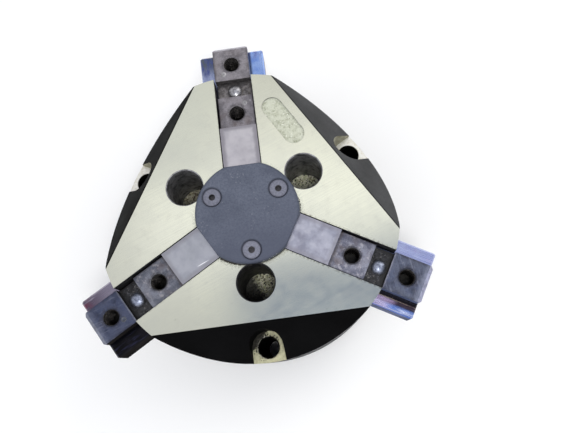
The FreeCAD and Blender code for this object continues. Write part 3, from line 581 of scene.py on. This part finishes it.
def mat_steel(name, tint=(120, 120, 130), turn=0.0, rough=0.32, angle=0.0, mottle=1.0):
    m = new(name, turn)
    n1 = m.noise(0.12, 5, 0.6, v=m.P)
    n2 = m.noise(0.8, 5, 0.7, v=m.P)
    st = streaks(m, angle, 0.03, 1.6, 3, z=1.6)
    c = m.mix(blend_n(m, n1, 0.36, 0.66), srgb(*tint), srgb(*[v * (1 - 0.28 * mottle) for v in tint]))
    c = m.mix(m.math("MULTIPLY", blend_n(m, n2, 0.6, 0.78), 0.6 * mottle), c, srgb(*[v * 0.45 for v in tint]))
    c = m.mix(m.math("MULTIPLY", blend_n(m, st, 0.52, 0.70), 0.35), c, srgb(*[v * 0.78 for v in tint]))
    m.to(c, "Base Color")
    m.set(Metallic=0.95)
    m.to(m.maprange(m.math("ADD", m.math("MULTIPLY", st, 0.5), m.math("MULTIPLY", n1, 0.5)), 0.3, 0.7, rough - 0.08, rough + 0.1), "Roughness")
    m.to(m.bump(m.math("ADD", m.math("MULTIPLY", st, 0.6), m.math("MULTIPLY", n2, 0.3)), 0.00002, 0.7), "Normal")
    return m.m


def mat_pin(i, turn):
    m = new("jaw_pin_%d_ground" % i, turn)
    n = m.noise(0.8, 4, 0.6, v=m.P)
    xyz = m.sep(m.P)
    dy = m.math("SUBTRACT", xyz[1], 73.75)
    d = m.math("SQRT", m.math("ADD", m.math("MULTIPLY", xyz[0], xyz[0]), m.math("MULTIPLY", dy, dy)))
    # pins 2 and 3 take a bluish tone: painted reflection; the darker ring towards the dome's edge is partly grime,
    # partly painted shade
    c = m.mix(blend_n(m, n, 0.4, 0.7), srgb(*((176, 176, 180) if i == 1 else (156, 163, 182))), srgb(*((120, 118, 122) if i == 1 else (100, 106, 124))))
    rim = m.math("MULTIPLY", m.maprange(d, 2.5, 3.8, 0.0, 1.0, smooth=True), blend_n(m, m.noise(0.6, 3, v=m.P), 0.3, 0.6))
    c = m.mix(m.math("MULTIPLY", rim, 0.65), c, srgb(96, 92, 92))
    m.to(c, "Base Color")
    m.set(Metallic=0.9)
    m.to(m.maprange(n, 0.3, 0.7, 0.30, 0.46), "Roughness")
    m.to(m.bump(m.math("ADD", n, m.math("MULTIPLY", m.math("SINE", m.math("MULTIPLY", d, 18.0)), 0.15)), 0.00003, 0.6), "Normal")
    return m.m


def mat_rubber(name, tint=(22, 22, 23)):
    m = new(name)
    n = m.noise(1.4, 4, 0.6, v=m.P)
    m.to(m.mix(blend_n(m, n, 0.4, 0.7), srgb(*tint), srgb(*[v * 1.6 for v in tint])), "Base Color")
    m.set(Metallic=0.0)
    m.to(m.maprange(n, 0.3, 0.7, 0.5, 0.75), "Roughness")
    m.to(m.bump(n, 0.00004, 0.8), "Normal")
    return m.m


def paint(obj, mat):
    obj.data.materials.clear()
    obj.data.materials.append(mat)


def assign(obj, mats, rule, turn=0.0):
    """Material slots by face: rule gets a face's centre (mm, turned back by turn) and normal."""
    me = obj.data
    me.materials.clear()
    for x in mats:
        me.materials.append(x)
    ca, sa = math.cos(math.radians(-turn)), math.sin(math.radians(-turn))
    idx = np.zeros(len(me.polygons), np.int32)
    for k, p in enumerate(me.polygons):
        c, nn = p.center * 1000, p.normal
        cc = (c.x * ca - c.y * sa, c.x * sa + c.y * ca, c.z)
        nv = (nn.x * ca - nn.y * sa, nn.x * sa + nn.y * ca, nn.z)
        idx[k] = rule(cc, nv)
    me.polygons.foreach_set("material_index", idx)
    me.update()


M_TOP = mat_top()
M_ANOD = mat_anodised()
# M_ANOD_L and M_ANOD_B are darker, duller copies of the same black anodising, for the left slope and for the -Y slope
# and seat walls at 270°: painted shade
M_ANOD_L = mat_anodised("housing_black_anodised_shaded_left", (15, 16, 15), 0.6, 0.015)
M_ANOD_B = mat_anodised("housing_black_anodised_shaded_front", (9, 9, 10), 0.55, 0.01)
M_SPOT = mat_spotface(tone=(240, 239, 231), tone_b=(218, 214, 198))
M_SPOT_B = mat_spotface("housing_bare_spotface_oily", (187, 185, 154), (160, 157, 130), 0.25)
# M_SPOT_W, for the seat walls, is a darker copy of the bare seat: painted shade on the walls
M_SPOT_W = mat_spotface("housing_bare_spotface_wall_shaded", (150, 147, 124), (112, 108, 86), 0.45)
M_LABEL = mat_label()
# M_BORE is near black: painted shade in the bolt bores; it also lines the inner bore
M_BORE = mat_anodised("housing_bolt_bore_shaded", (16, 15, 14), 0.6, 0.02)
M_SLOT = mat_bore("housing_guide_walls", (92, 92, 96), 0.34)
M_POCKET = mat_bore("housing_pocket_wall", (158, 158, 162), 0.46, 0.75)
# M_POCKET_B, for the walls of the pocket at 270°, is a dark copy of the pocket wall: painted shade
M_POCKET_B = mat_bore("housing_pocket_wall_shaded", (40, 40, 46), 0.5, 0.4)
M_BASE = mat_steel("housing_base_face", (200, 200, 196), 0.0, 0.36, 35, 0.3)


M_WALL = mat_wall()


def star_xy(x, y):
    """Position along and across the nearest jaw direction."""
    best = None
    for a in JAW_ANG:
        t = math.radians(a - 90)
        lx, ly = x * math.cos(t) + y * math.sin(t), -x * math.sin(t) + y * math.cos(t)
        if best is None or ly > best[1]:
            best = (lx, ly)
    return best


def housing_rule(c, n):
    x, y, z = c
    if n[2] > 0.9 and z > 99.9:
        return 1
    if n[2] > 0.9 and 99.0 < z < 99.6:
        return 3
    r = math.hypot(x, y)
    for a in SIDE_ANG:
        t = math.radians(a)
        if math.hypot(x - 69.2 * math.cos(t), y - 69.2 * math.sin(t)) < 6.4 and z < 68.05 and abs(n[2]) < 0.9:
            return 4
        if math.hypot(x - 37 * math.cos(t), y - 37 * math.sin(t)) < 10.5 and z > 61:
            return 13 if a == 270 else 6
    if n[2] > 0.9 and 67.5 < z < 68.5:
        return 10 if y < -50 else 2
    for k, a in enumerate(SIDE_ANG):
        t = math.radians(a)
        u, w = x * math.cos(t) + y * math.sin(t), -x * math.sin(t) + y * math.cos(t)
        if abs(n[2]) < 0.1 and z > 67.9 and u > 60.0 and abs(w) < 9.05 and (abs(abs(w) - 9.0) < 0.06 or abs(math.hypot(u - 69.2, w) - 9.0) < 0.12):
            return 9 if k == 2 else 12
    lx, ly = star_xy(x, y)
    if z > 53 and ((73.9 < z < 89.4 and abs(lx) < 18.8) or abs(lx) < 10.6) and r < 79.2:
        return 5
    if n[2] < -0.9 and z < 0.01:
        return 7
    if z < 53.3 and r < 57.1:
        return 4
    if 99.25 < z < 100 and abs(n[2]) < 0.3 and r > 30 and z < 99.99:
        # wall of the shallow label recess
        t = math.radians(30)
        u, s = x * math.cos(t) + y * math.sin(t), -x * math.sin(t) + y * math.cos(t)
        if 39 < u < 53 and 13 < s < 46.5:
            return 6
    ang = math.degrees(math.atan2(y, x)) % 360
    if abs(n[2]) < 0.2 and r > 70:
        return 11
    return 0 if (ang < 90 or ang > 330) else (8 if ang < 210 else 9)


assign(N["housing"], [M_ANOD, M_TOP, M_SPOT, M_LABEL, M_BORE, M_SLOT, M_POCKET, M_BASE, M_ANOD_L, M_ANOD_B, M_SPOT_B, M_WALL, M_SPOT_W, M_POCKET_B], housing_rule)


def jaw_rule(c, n):
    x, y, z = c
    for rho in (58.7, 88.9):
        if math.hypot(x, y - rho) < 4.5 and 77.0 < z < 95.0:
            return 4
        if math.hypot(x, y - rho) < 5.05 and z < 96.31 and z > 77.5 and n[2] < 0.3:
            return 4
    if n[2] > 0.3 and z > 98.5:
        return 0
    if 0.3 < n[2] < 0.93 and z > 94.0 and (y > 97 or abs(x) > 9.3) and y > 79:
        return 6
    if n[2] > 0.3 and z > 94.0:
        return 1
    if 68.4 < y < 79.1 and z > 91.0 and abs(x) < 10.01 and (n[2] > 0.9 or abs(n[1]) > 0.9):
        return 2
    if n[2] > 0.3 and 87.5 < z < 89.6:
        return 3
    if n[1] > 0.7 and y > 95:
        return 7
    return 5


for i, a in enumerate(JAW_ANG, 1):
    t = a - 90
    ends = mat_steel("jaw_%d_end_face" % i, {1: (150, 148, 152), 2: (128, 128, 134), 3: (146, 146, 154)}[i], t, 0.36, 2, 0.35)
    # the sides of jaw 2 are matt near-black and those of jaw 3 a flat blue: painted shade and painted reflection
    sides = mat_anodised("jaw_2_sides_oily", (40, 38, 38), 0.55, 0.0) if i == 2 else mat_anodised("jaw_3_sides_blued", (84, 94, 126), 0.55, 0.04) if i == 3 else mat_steel("jaw_1_sides", (128, 128, 140), t, 0.3, 90)
    # the walls of the tapped holes are dark: painted shade inside the holes
    assign(N["jaw_%d" % i],
           [mat_land(i, t), mat_block(i, t), mat_grime(i, t), mat_flange(i, t),
            mat_bore("jaw_%d_thread_bore" % i, (50, 49, 48), 0.38), sides, mat_bevel(i, t), ends],
           jaw_rule, t)
    paint(N["jaw_pin_%d" % i], mat_pin(i, t))

polar = lambda rho, a: (rho * math.cos(math.radians(a)), rho * math.sin(math.radians(a)))
paint(N["center_cover"], mat_cover())
paint(N["cover_screws"], mat_screw("cover_screw_heads", centres=[polar(20.4, a) for a in SIDE_ANG]))
paint(N["rear_cover"], mat_anodised("rear_cover_black", (34, 34, 36), 0.4))
paint(N["rear_cover_screws"], mat_screw("rear_screw_heads", (120, 120, 126), (60, 60, 64), [polar(52.6, 60 * k) for k in range(6)]))
paint(N["piston_bolt"], mat_screw("piston_bolt_steel", (60, 60, 64), (34, 34, 36), [(0, 0)]))
paint(N["piston_washer"], mat_steel("washer_steel", (170, 170, 172)))
paint(N["piston_rod"], mat_steel("rod_ground_steel", (196, 196, 200), rough=0.2))
paint(N["wedge_hook"], mat_steel("wedge_hardened_steel", (128, 126, 128), rough=0.34, angle=40))
paint(N["piston"], mat_steel("piston_aluminium", (190, 192, 194), rough=0.34, angle=20))
paint(N["rod_guide_bush"], mat_steel("bush_bronze", (168, 128, 70), rough=0.36))
paint(N["piston_magnet"], mat_rubber("magnet_compound", (46, 42, 42)))
paint(N["piston_guide_band"], mat_rubber("guide_band_plastic", (140, 92, 48)))
for nme in ("piston_seal", "rod_seal", "rear_cover_seal"):
    paint(N[nme], mat_rubber(nme + "_rubber"))

# ================================================================== added pieces
def make(name, bm, mat, body, smooth=True):
    bmesh.ops.recalc_face_normals(bm, faces=bm.faces)
    me = bpy.data.meshes.new(name)
    bm.to_mesh(me)
    bm.free()
    for p in me.polygons:
        p.use_smooth = smooth
    me.materials.append(mat)
    o = bpy.data.objects.new(name, me)
    bpy.context.scene.collection.objects.link(o)
    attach(o, body)
    return o


def helix(bm, mat4, r_root, r_crest, pitch, length, steps=36, width=0.44):
    """A closed thread ridge along local +Z, run out at both ends (mm)."""
    n = int(length / pitch * steps)
    rings = []
    for k in range(n + 1):
        t = k / n
        amp = min(1.0, t / 0.05, (1 - t) / 0.05)
        rc = r_root + (r_crest - r_root) * max(0.08, amp)
        a = 2 * math.pi * k / steps
        z = t * length
        pts = [(r_root, z - pitch * width), (rc, z - pitch * 0.10), (rc, z + pitch * 0.10), (r_root, z + pitch * width)]
        rings.append([bm.verts.new(mat4 @ Vector((r * math.cos(a) * MM, r * math.sin(a) * MM, zz * MM))) for r, zz in pts])
    for r0, r1 in zip(rings, rings[1:]):
        for j in range(4):
            bm.faces.new((r0[j], r0[(j + 1) % 4], r1[(j + 1) % 4], r1[j]))
    bm.faces.new(rings[0])
    bm.faces.new(reversed(rings[-1]))


def lump(bm, c, size, flat=0.6, seed=0, level=1):
    """One small jagged crumb at c, in mm."""
    r = random.Random(seed)
    out = bmesh.ops.create_icosphere(bm, subdivisions=level, radius=1.0)
    rot = Matrix.Rotation(r.uniform(0, 6.28), 3, Vector((r.uniform(-1, 1), r.uniform(-1, 1), r.uniform(-1, 1))).normalized())
    sx, sy = size * r.uniform(0.6, 1.3), size * r.uniform(0.6, 1.3)
    for v in out["verts"]:
        p = rot @ (v.co * r.uniform(0.62, 1.15))
        v.co = Vector((c[0] + p.x * sx, c[1] + p.y * sy, c[2] + p.z * size * flat)) * MM


def curl(bm, c, r, w, turns, yaw, seed):
    """A turned chip: a thin curled ribbon with real thickness (mm)."""
    rr = random.Random(seed)
    n, th = int(10 * turns) + 4, 0.10
    rows = []
    tilt = Matrix.Rotation(yaw, 3, "Z") @ Matrix.Rotation(rr.uniform(-0.6, 0.6), 3, "X")
    for k in range(n + 1):
        a = 2 * math.pi * turns * k / n
        x = w * 0.9 * a / 6.28
        ring = []
        for dx, dr in ((0, 0), (w, 0), (w, th), (0, th)):
            p = tilt @ Vector((x + dx - w * turns * 0.5, (r + dr) * math.cos(a), (r + dr) * math.sin(a) + r))
            ring.append(bm.verts.new(Vector((c[0] + p.x, c[1] + p.y, c[2] + p.z)) * MM))
        rows.append(ring)
    for r0, r1 in zip(rows, rows[1:]):
        for j in range(4):
            bm.faces.new((r0[j], r0[(j + 1) % 4], r1[(j + 1) % 4], r1[j]))
    bm.faces.new(rows[0])
    bm.faces.new(reversed(rows[-1]))


# the thread ridges are dark: painted shade inside the tapped holes and air ports
def mat_thread(name):
    m = new(name)
    n = m.noise(1.1, 5, 0.65, v=m.P)
    c = m.mix(blend_n(m, n, 0.42, 0.64), srgb(66, 63, 62), srgb(26, 25, 25))
    m.to(c, "Base Color")
    m.set(Metallic=0.85)
    m.to(m.maprange(n, 0.3, 0.7, 0.26, 0.5), "Roughness")
    m.to(m.bump(n, 0.00002, 0.6), "Normal")
    return m.m


def mat_swarf():
    # heap of fine chips and dust: olive and straw, black specks, a few bright flakes
    m = new("pocket_swarf")
    cells = m.voronoi(1.5, v=m.P, out="Color")
    cs = m.n("ShaderNodeSeparateColor")
    m.link(cells, cs.inputs[0])
    n = m.noise(0.28, 4, 0.6, v=m.P)
    n2 = m.noise(0.7, 4, 0.6, v=m.mapping(loc=(11, 4, 2), v=m.P))
    fine = m.noise(2.2, 5, 0.8, v=m.P)
    # the straw and white tones are raised near white: partly the swarf's own pale colour, partly painted light on the
    # pocket floors
    c = m.mix(cs.outputs[0], srgb(255, 252, 234), srgb(214, 212, 178))
    c = m.mix(m.math("MULTIPLY", blend_n(m, n2, 0.44, 0.60), 0.6), c, srgb(176, 184, 128))
    c = m.mix(m.math("MULTIPLY", blend_n(m, n, 0.50, 0.66), 0.6), c, srgb(130, 122, 90))
    c = m.mix(m.math("GREATER_THAN", cs.outputs[1], 0.80), c, srgb(48, 44, 36))
    c = m.mix(m.math("GREATER_THAN", cs.outputs[2], 0.86), c, srgb(250, 248, 230))
    c = m.mix(m.math("MULTIPLY", blend_n(m, fine, 0.50, 0.62), 0.6), c, srgb(84, 80, 62))
    # painted shadow over the -X side of the pocket at -Y
    q = m.sep(m.P)
    w = m.math("ADD", m.math("MULTIPLY", q[0], 0.85), m.math("MULTIPLY", m.math("ADD", q[1], 37.0), 0.40))
    w = m.math("ADD", w, m.math("MULTIPLY", m.math("SUBTRACT", n2, 0.5), 9.0))
    pocket_shadow = m.math("MULTIPLY", m.maprange(w, 2.6, -2.8, 0.0, 1.0, smooth=True), m.maprange(q[1], -22.0, -26.0))
    c = m.mix(m.math("MULTIPLY", pocket_shadow, 0.96), c, srgb(14, 13, 14))
    # brown and dull in the pocket on the -X side
    brown = m.maprange(q[0], -20.0, -24.0, 0.0, 0.5)
    c = m.mix(brown, c, srgb(122, 106, 88))
    m.to(c, "Base Color")
    m.to(m.math("MULTIPLY", m.math("GREATER_THAN", cs.outputs[2], 0.86), 0.3), "Metallic")
    m.to(m.maprange(fine, 0.3, 0.7, 0.4, 0.8), "Roughness")
    m.to(m.bump(m.math("ADD", fine, cs.outputs[0]), 0.00012, 1.0), "Normal")
    return m.m


def mat_dirt(name, a=(58, 54, 46), b=(24, 23, 22), bright=(126, 120, 104)):
    m = new(name)
    n = m.noise(1.7, 5, 0.7, v=m.P)
    n2 = m.noise(0.6, 3, 0.6, v=m.P)
    c = m.mix(blend_n(m, n, 0.40, 0.62), srgb(*a), srgb(*b))
    c = m.mix(m.math("MULTIPLY", blend_n(m, n2, 0.58, 0.7), 0.6), c, srgb(*bright))
    m.to(c, "Base Color")
    m.to(m.maprange(n, 0.3, 0.7, 0.5, 0.85), "Roughness")
    m.to(m.bump(n, 0.00006, 1.0), "Normal")
    return m.m


MT, MS = mat_thread("thread_flanks_shaded"), mat_swarf()
MD, MG = mat_dirt("black_crumbs"), mat_dirt("groove_grit", (92, 84, 78), (34, 32, 31), (150, 144, 136))
# the grit for jaws 2 and 3 is a darker copy: partly oily, partly painted shade
MH = mat_dirt("groove_grit_oily_shaded", (40, 37, 36), (14, 14, 15), (112, 106, 98))

# threads in the tapped jaw holes
for i, a in enumerate(JAW_ANG, 1):
    for nm, rho in (("inner", 58.7), ("outer", 88.9)):
        px, py = polar(rho, a)
        bm = bmesh.new()
        helix(bm, Matrix.Translation((px * MM, py * MM, 79.2 * MM)), 4.27, 3.72, 1.5, 16.0)
        make("jaw_%d_%s_thread_ridge" % (i, nm), bm, MT, "jaw_%d" % i)
# threads in the two air ports
for x, z, nm in ((-14.0, 41.5, "close"), (14.0, 14.0, "open")):
    bm = bmesh.new()
    helix(bm, Matrix.Translation((x * MM, 64.6 * MM, z * MM)) @ Matrix.Rotation(-math.pi / 2, 4, "X"), 4.32, 3.9, 0.907, 10.6)
    make("air_port_%s_thread_ridge" % nm, bm, MT, "body")

# swarf lying in the three pockets
Z0 = 61.55
for k, a in enumerate(SIDE_ANG):
    cx, cy = polar(37.0, a)
    bm = bmesh.new()
    ph = [random.uniform(0, 6.28) for _ in range(8)]
    slope_dir = math.radians((-40, -60, -10)[k])

    def top(r, t):
        x, y = r * math.cos(t), r * math.sin(t)
        h = 1.5 + 0.10 * (x * math.cos(slope_dir) + y * math.sin(slope_dir))
        h += 0.35 * math.sin(0.9 * x + ph[0]) * math.sin(0.8 * y + ph[1]) + 0.22 * math.sin(2.3 * x + ph[2]) * math.sin(2.1 * y + ph[3])
        h += 0.12 * math.sin(5.1 * x + ph[4]) * math.sin(4.7 * y + ph[5])
        return max(0.5, h)

    NR, NT = 20, 64
    c0 = bm.verts.new(Vector((cx, cy, Z0 + top(0, 0))) * MM)
    rings = []
    for j in range(1, NR + 1):
        r = 9.77 * j / NR
        rings.append([bm.verts.new(Vector((cx + r * math.cos(6.28318 * q / NT), cy + r * math.sin(6.28318 * q / NT),
                                           Z0 + top(r, 6.28318 * q / NT) + (random.uniform(-0.13, 0.13) if j < NR else 0))) * MM) for q in range(NT)])
    base = [bm.verts.new(Vector((cx + 9.77 * math.cos(6.28318 * q / NT), cy + 9.77 * math.sin(6.28318 * q / NT), Z0)) * MM) for q in range(NT)]
    for q in range(NT):
        bm.faces.new((c0, rings[0][q], rings[0][(q + 1) % NT]))
        for r0, r1 in zip(rings, rings[1:]):
            bm.faces.new((r0[q], r1[q], r1[(q + 1) % NT], r0[(q + 1) % NT]))
        bm.faces.new((rings[-1][q], base[q], base[(q + 1) % NT], rings[-1][(q + 1) % NT]))
    bm.faces.new(list(reversed(base)))
    make("pocket_%d_swarf_bed" % (k + 1), bm, MS, "body")
    bm = bmesh.new()
    for q in range(230):
        r, t = 9.1 * math.sqrt(random.random()), random.uniform(0, 6.28318)
        s_ = random.choice((0.22, 0.3, 0.4, 0.55))
        lump(bm, (cx + r * math.cos(t), cy + r * math.sin(t), Z0 + top(r, t) + 0.10), s_, 0.55, seed=1000 * k + q)
    for q in range(16):
        r, t = 7.6 * math.sqrt(random.random()), random.uniform(0, 6.28318)
        curl(bm, (cx + r * math.cos(t), cy + r * math.sin(t), Z0 + top(r, t)), random.uniform(0.35, 0.7), random.uniform(0.4, 0.8), random.uniform(0.8, 1.8), random.uniform(0, 6.28), 77 * k + q)
    make("pocket_%d_swarf_chips" % (k + 1), bm, MS, "body", smooth=False)

# crumbs pushed up against the centre cover's edge
bm = bmesh.new()
q = 0
for a0, a1, cnt, far in ((233.5, 256, 90, 0.75), (256, 268, 18, 0.6), (-6, 9, 34, 0.6), (288, 306, 16, 0.5), (160, 175, 8, 0.4)):
    for _ in range(cnt):
        t = math.radians(random.uniform(a0, a1))
        s_ = random.choice((0.2, 0.28, 0.38, 0.6)) * far
        r = 27.5 + s_ * 0.6 + abs(random.gauss(0, 0.28)) * far
        lump(bm, (r * math.cos(t), r * math.sin(t), 100.0 + s_ * 0.3), s_, 0.6, seed=5000 + q)
        q += 1
make("cover_edge_crumbs", bm, MD, "body", smooth=False)

# burr flakes and black grime round the bolt hole on the -Y side
bx, by = polar(69.2, 270)
bm, bg_ = bmesh.new(), bmesh.new()
for q in range(120):
    t = math.radians(random.uniform(85, 250) if q < 90 else random.uniform(250, 445))
    s_ = random.choice((0.12, 0.16, 0.22, 0.34)) * (1.0 if q < 90 else 0.6)
    r = 5.9 + abs(random.gauss(0, 0.30))
    lump(bm, (bx + r * math.cos(t), by + r * math.sin(t), 68.0 + s_ * 0.35), s_, 0.7, seed=300 + q)
for q in range(150):
    t = math.radians(random.gauss(135, 38))
    s_ = random.choice((0.16, 0.22, 0.34, 0.5))
    r = min(8.5, 6.3 + abs(random.gauss(0, 0.9)))
    lump(bg_, (bx + r * math.cos(t), by + r * math.sin(t), 68.0 + s_ * 0.2), s_, 0.5, seed=700 + q)
make("bolt_hole_3_burr_flakes", bm, mat_steel("burr_flakes", (232, 230, 214), 0.0, 0.3), "body", smooth=False)
make("bolt_hole_3_grime", bg_, MD, "body", smooth=False)

# grit in the jaws' cross grooves, and along the foot of the pins
for i, a in enumerate(JAW_ANG, 1):
    t0 = math.radians(a - 90)
    bm = bmesh.new()
    for q in range(150):
        x, y = random.uniform(-9.4, 9.4), random.uniform(68.9, 78.6)
        if math.hypot(x, y - 73.75) < 4.7:
            continue
        s_ = random.choice((0.10, 0.14, 0.2, 0.3))
        lump(bm, (x * math.cos(t0) - y * math.sin(t0), x * math.sin(t0) + y * math.cos(t0), 91.6 + s_ * 0.25), s_, 0.6, seed=9000 * i + q)
    make("jaw_%d_groove_grit" % i, bm, MG if i == 1 else MH, "jaw_%d" % i, smooth=False)

# centre-punch marks on the blocks: a raised burr round a dark dimple
for i, spots in ((1, ((-5.0, 83.0), (5.0, 64.0))), (2, ((-5.0, 84.0),))):
    t0 = math.radians(JAW_ANG[i - 1] - 90)
    bm = bmesh.new()
    for sx, sy in spots:
        cx, cy = sx * math.cos(t0) - sy * math.sin(t0), sx * math.sin(t0) + sy * math.cos(t0)
        prof = [(0.0, -0.02), (0.3, 0.0), (0.6, 0.04), (0.9, 0.12), (1.12, 0.12), (1.35, 0.04), (1.6, -0.03)]
        rings = []
        for r, h in prof[1:]:
            rings.append([bm.verts.new(Vector((cx + r * math.cos(6.28318 * q / 24), cy + r * math.sin(6.28318 * q / 24), 96.3 + h)) * MM) for q in range(24)])
        top0 = bm.verts.new(Vector((cx, cy, 96.3 - 0.01)) * MM)
        bot = bm.verts.new(Vector((cx, cy, 96.2)) * MM)
        for q in range(24):
            n_ = (q + 1) % 24
            bm.faces.new((top0, rings[0][q], rings[0][n_]))
            for r0, r1 in zip(rings, rings[1:]):
                bm.faces.new((r0[q], r1[q], r1[n_], r0[n_]))
            bm.faces.new((bot, rings[-1][n_], rings[-1][q]))
    make("jaw_%d_punch_marks" % i, bm, mat_steel("punch_burr_%d" % i, (206, 204, 206) if i == 1 else (104, 108, 118), 0.0, 0.34), "jaw_%d" % i)

# ================================================================== floor, light, camera
def area(name, loc, target, size, power, color=(1, 1, 1), size_y=None):
    d = bpy.data.lights.new(name, "AREA")
    d.energy = power
    d.color = color
    d.shape = "RECTANGLE"
    d.size = size
    d.size_y = size_y or size
    o = bpy.data.objects.new(name, d)
    o.location = loc
    o.rotation_mode = "QUATERNION"
    o.rotation_quaternion = (Vector(target) - Vector(loc)).to_track_quat("-Z", "Y")
    bpy.context.scene.collection.objects.link(o)
    return o


floor_mesh = bpy.data.meshes.new("floor")
fb = bmesh.new()
bmesh.ops.create_grid(fb, x_segments=4, y_segments=4, size=6.0)
fb.to_mesh(floor_mesh)
fb.free()
floor = bpy.data.objects.new("floor", floor_mesh)
bpy.context.scene.collection.objects.link(floor)
fm = Mat("floor_paper")
fm.to(fm.mix(fm.noise(3.0, 3), (0.955, 0.955, 0.95), (0.975, 0.975, 0.97)), "Base Color")
fm.set(Roughness=0.9)
paint(floor, fm.m)

world = bpy.data.worlds.new("studio")
bpy.context.scene.world = world
world.use_nodes = True
wt = world.node_tree
wt.nodes.clear()


def wn(kind, **kw):
    x = wt.nodes.new(kind)
    for k, v in kw.items():
        setattr(x, k, v)
    return x


def wmath(op, a, b=None, c=None):
    m = wn("ShaderNodeMath", operation=op)
    for k, v in enumerate((a, b, c)):
        if v is None:
            continue
        if isinstance(v, bpy.types.NodeSocket):
            wt.links.new(v, m.inputs[k])
        else:
            m.inputs[k].default_value = v
    return m.outputs[0]


def wrange(v, a, b, c=0.0, d=1.0):
    m = wn("ShaderNodeMapRange", interpolation_type="SMOOTHSTEP")
    for k, x in zip((1, 2, 3, 4), (a, b, c, d)):
        if isinstance(x, bpy.types.NodeSocket):
            wt.links.new(x, m.inputs[k])
        else:
            m.inputs[k].default_value = x
    wt.links.new(v, m.inputs[0])
    return m.outputs[0]


def wmix(f, a, b):
    m = wn("ShaderNodeMix", data_type="RGBA")
    for sk, v in ((m.inputs[0], f), (m.inputs[6], a), (m.inputs[7], b)):
        if isinstance(v, bpy.types.NodeSocket):
            wt.links.new(v, sk)
        elif isinstance(v, (int, float)):
            sk.default_value = v
        else:
            sk.default_value = tuple(v) + (1,)
    return m.outputs[2]


# The room as a soft gradient: a bright ceiling on the +Y side that falls off away from
# the zenith, a cooler dim patch overhead, pale walls.
wd = wn("ShaderNodeSeparateXYZ")
wt.links.new(wn("ShaderNodeTexCoord").outputs["Generated"], wd.inputs[0])
dx, dy, dz = wd.outputs
zc = wmath("MAXIMUM", dz, 0.08)
tu, tv = wmath("DIVIDE", dx, zc), wmath("DIVIDE", dy, zc)
right = wrange(tu, -0.18, -0.07)
dim = wmix(right, (0.64, 0.64, 0.68), (0.26, 0.30, 0.43))
fall = wrange(tv, 0.26, 0.56, 1.06, 0.66)
hi = wn("ShaderNodeVectorMath", operation="SCALE")
hi.inputs[0].default_value = (1.0, 0.995, 1.03)
wt.links.new(fall, hi.inputs[3])
grey = wmath("MULTIPLY", wrange(tu, -0.08, -0.20), wrange(tv, 0.27, 0.40))
ceil = wmix(wmath("MULTIPLY", grey, 0.9), hi.outputs[0], (0.66, 0.67, 0.73))
e_r = wmath("ADD", wmath("MULTIPLY", wrange(tv, 0.146, 0.168), 0.45), wmath("MULTIPLY", wrange(tv, 0.16, 0.25), 0.55))
e_l = wrange(tv, 0.10, 0.25)
edge = wmath("ADD", wmath("MULTIPLY", right, e_r), wmath("MULTIPLY", wmath("SUBTRACT", 1.0, right), e_l))
room = wmix(edge, dim, ceil)
room = wmix(wmath("MULTIPLY", wrange(tu, -0.25, -0.33), 0.9), room, (0.62, 0.62, 0.68))
far = wrange(dz, 0.84, 0.68)
room = wmix(far, room, (0.95, 0.95, 0.95))
low = wrange(dz, 0.25, 0.02)
room = wmix(low, room, (0.95, 0.95, 0.96))
bg = wn("ShaderNodeBackground")
wt.links.new(room, bg.inputs[0])
bg.inputs[1].default_value = 1.0
wo = wn("ShaderNodeOutputWorld")
wt.links.new(bg.outputs[0], wo.inputs[0])

area("front", (0.060, -0.170, 0.58), (0, 0, 0.08), 0.10, 0.95, (1.0, 0.99, 0.95))
area("key", (0.75, 0.55, 0.75), (0, 0, 0.05), 0.8, 3.4, (1.0, 0.985, 0.95))
area("fill", (-0.8, -0.55, 0.55), (0, 0, 0.05), 0.8, 1.9, (0.92, 0.95, 1.0))

cam_d = bpy.data.cameras.new("camera")
cam = bpy.data.objects.new("camera", cam_d)
bpy.context.scene.collection.objects.link(cam)
cam_d.sensor_width = 36.0
cam_d.lens = 36.608
cam_d.clip_start = 0.01
cam_d.clip_end = 50.0
cam.rotation_mode = "QUATERNION"
cam.rotation_quaternion = (0.99029076, 0.12030114, 0.01921172, -0.06695332)
cam.location = (0.02770811, -0.07900508, 0.39758919)
bpy.context.scene.camera = cam

bpy.context.scene.view_settings.view_transform = "Standard"
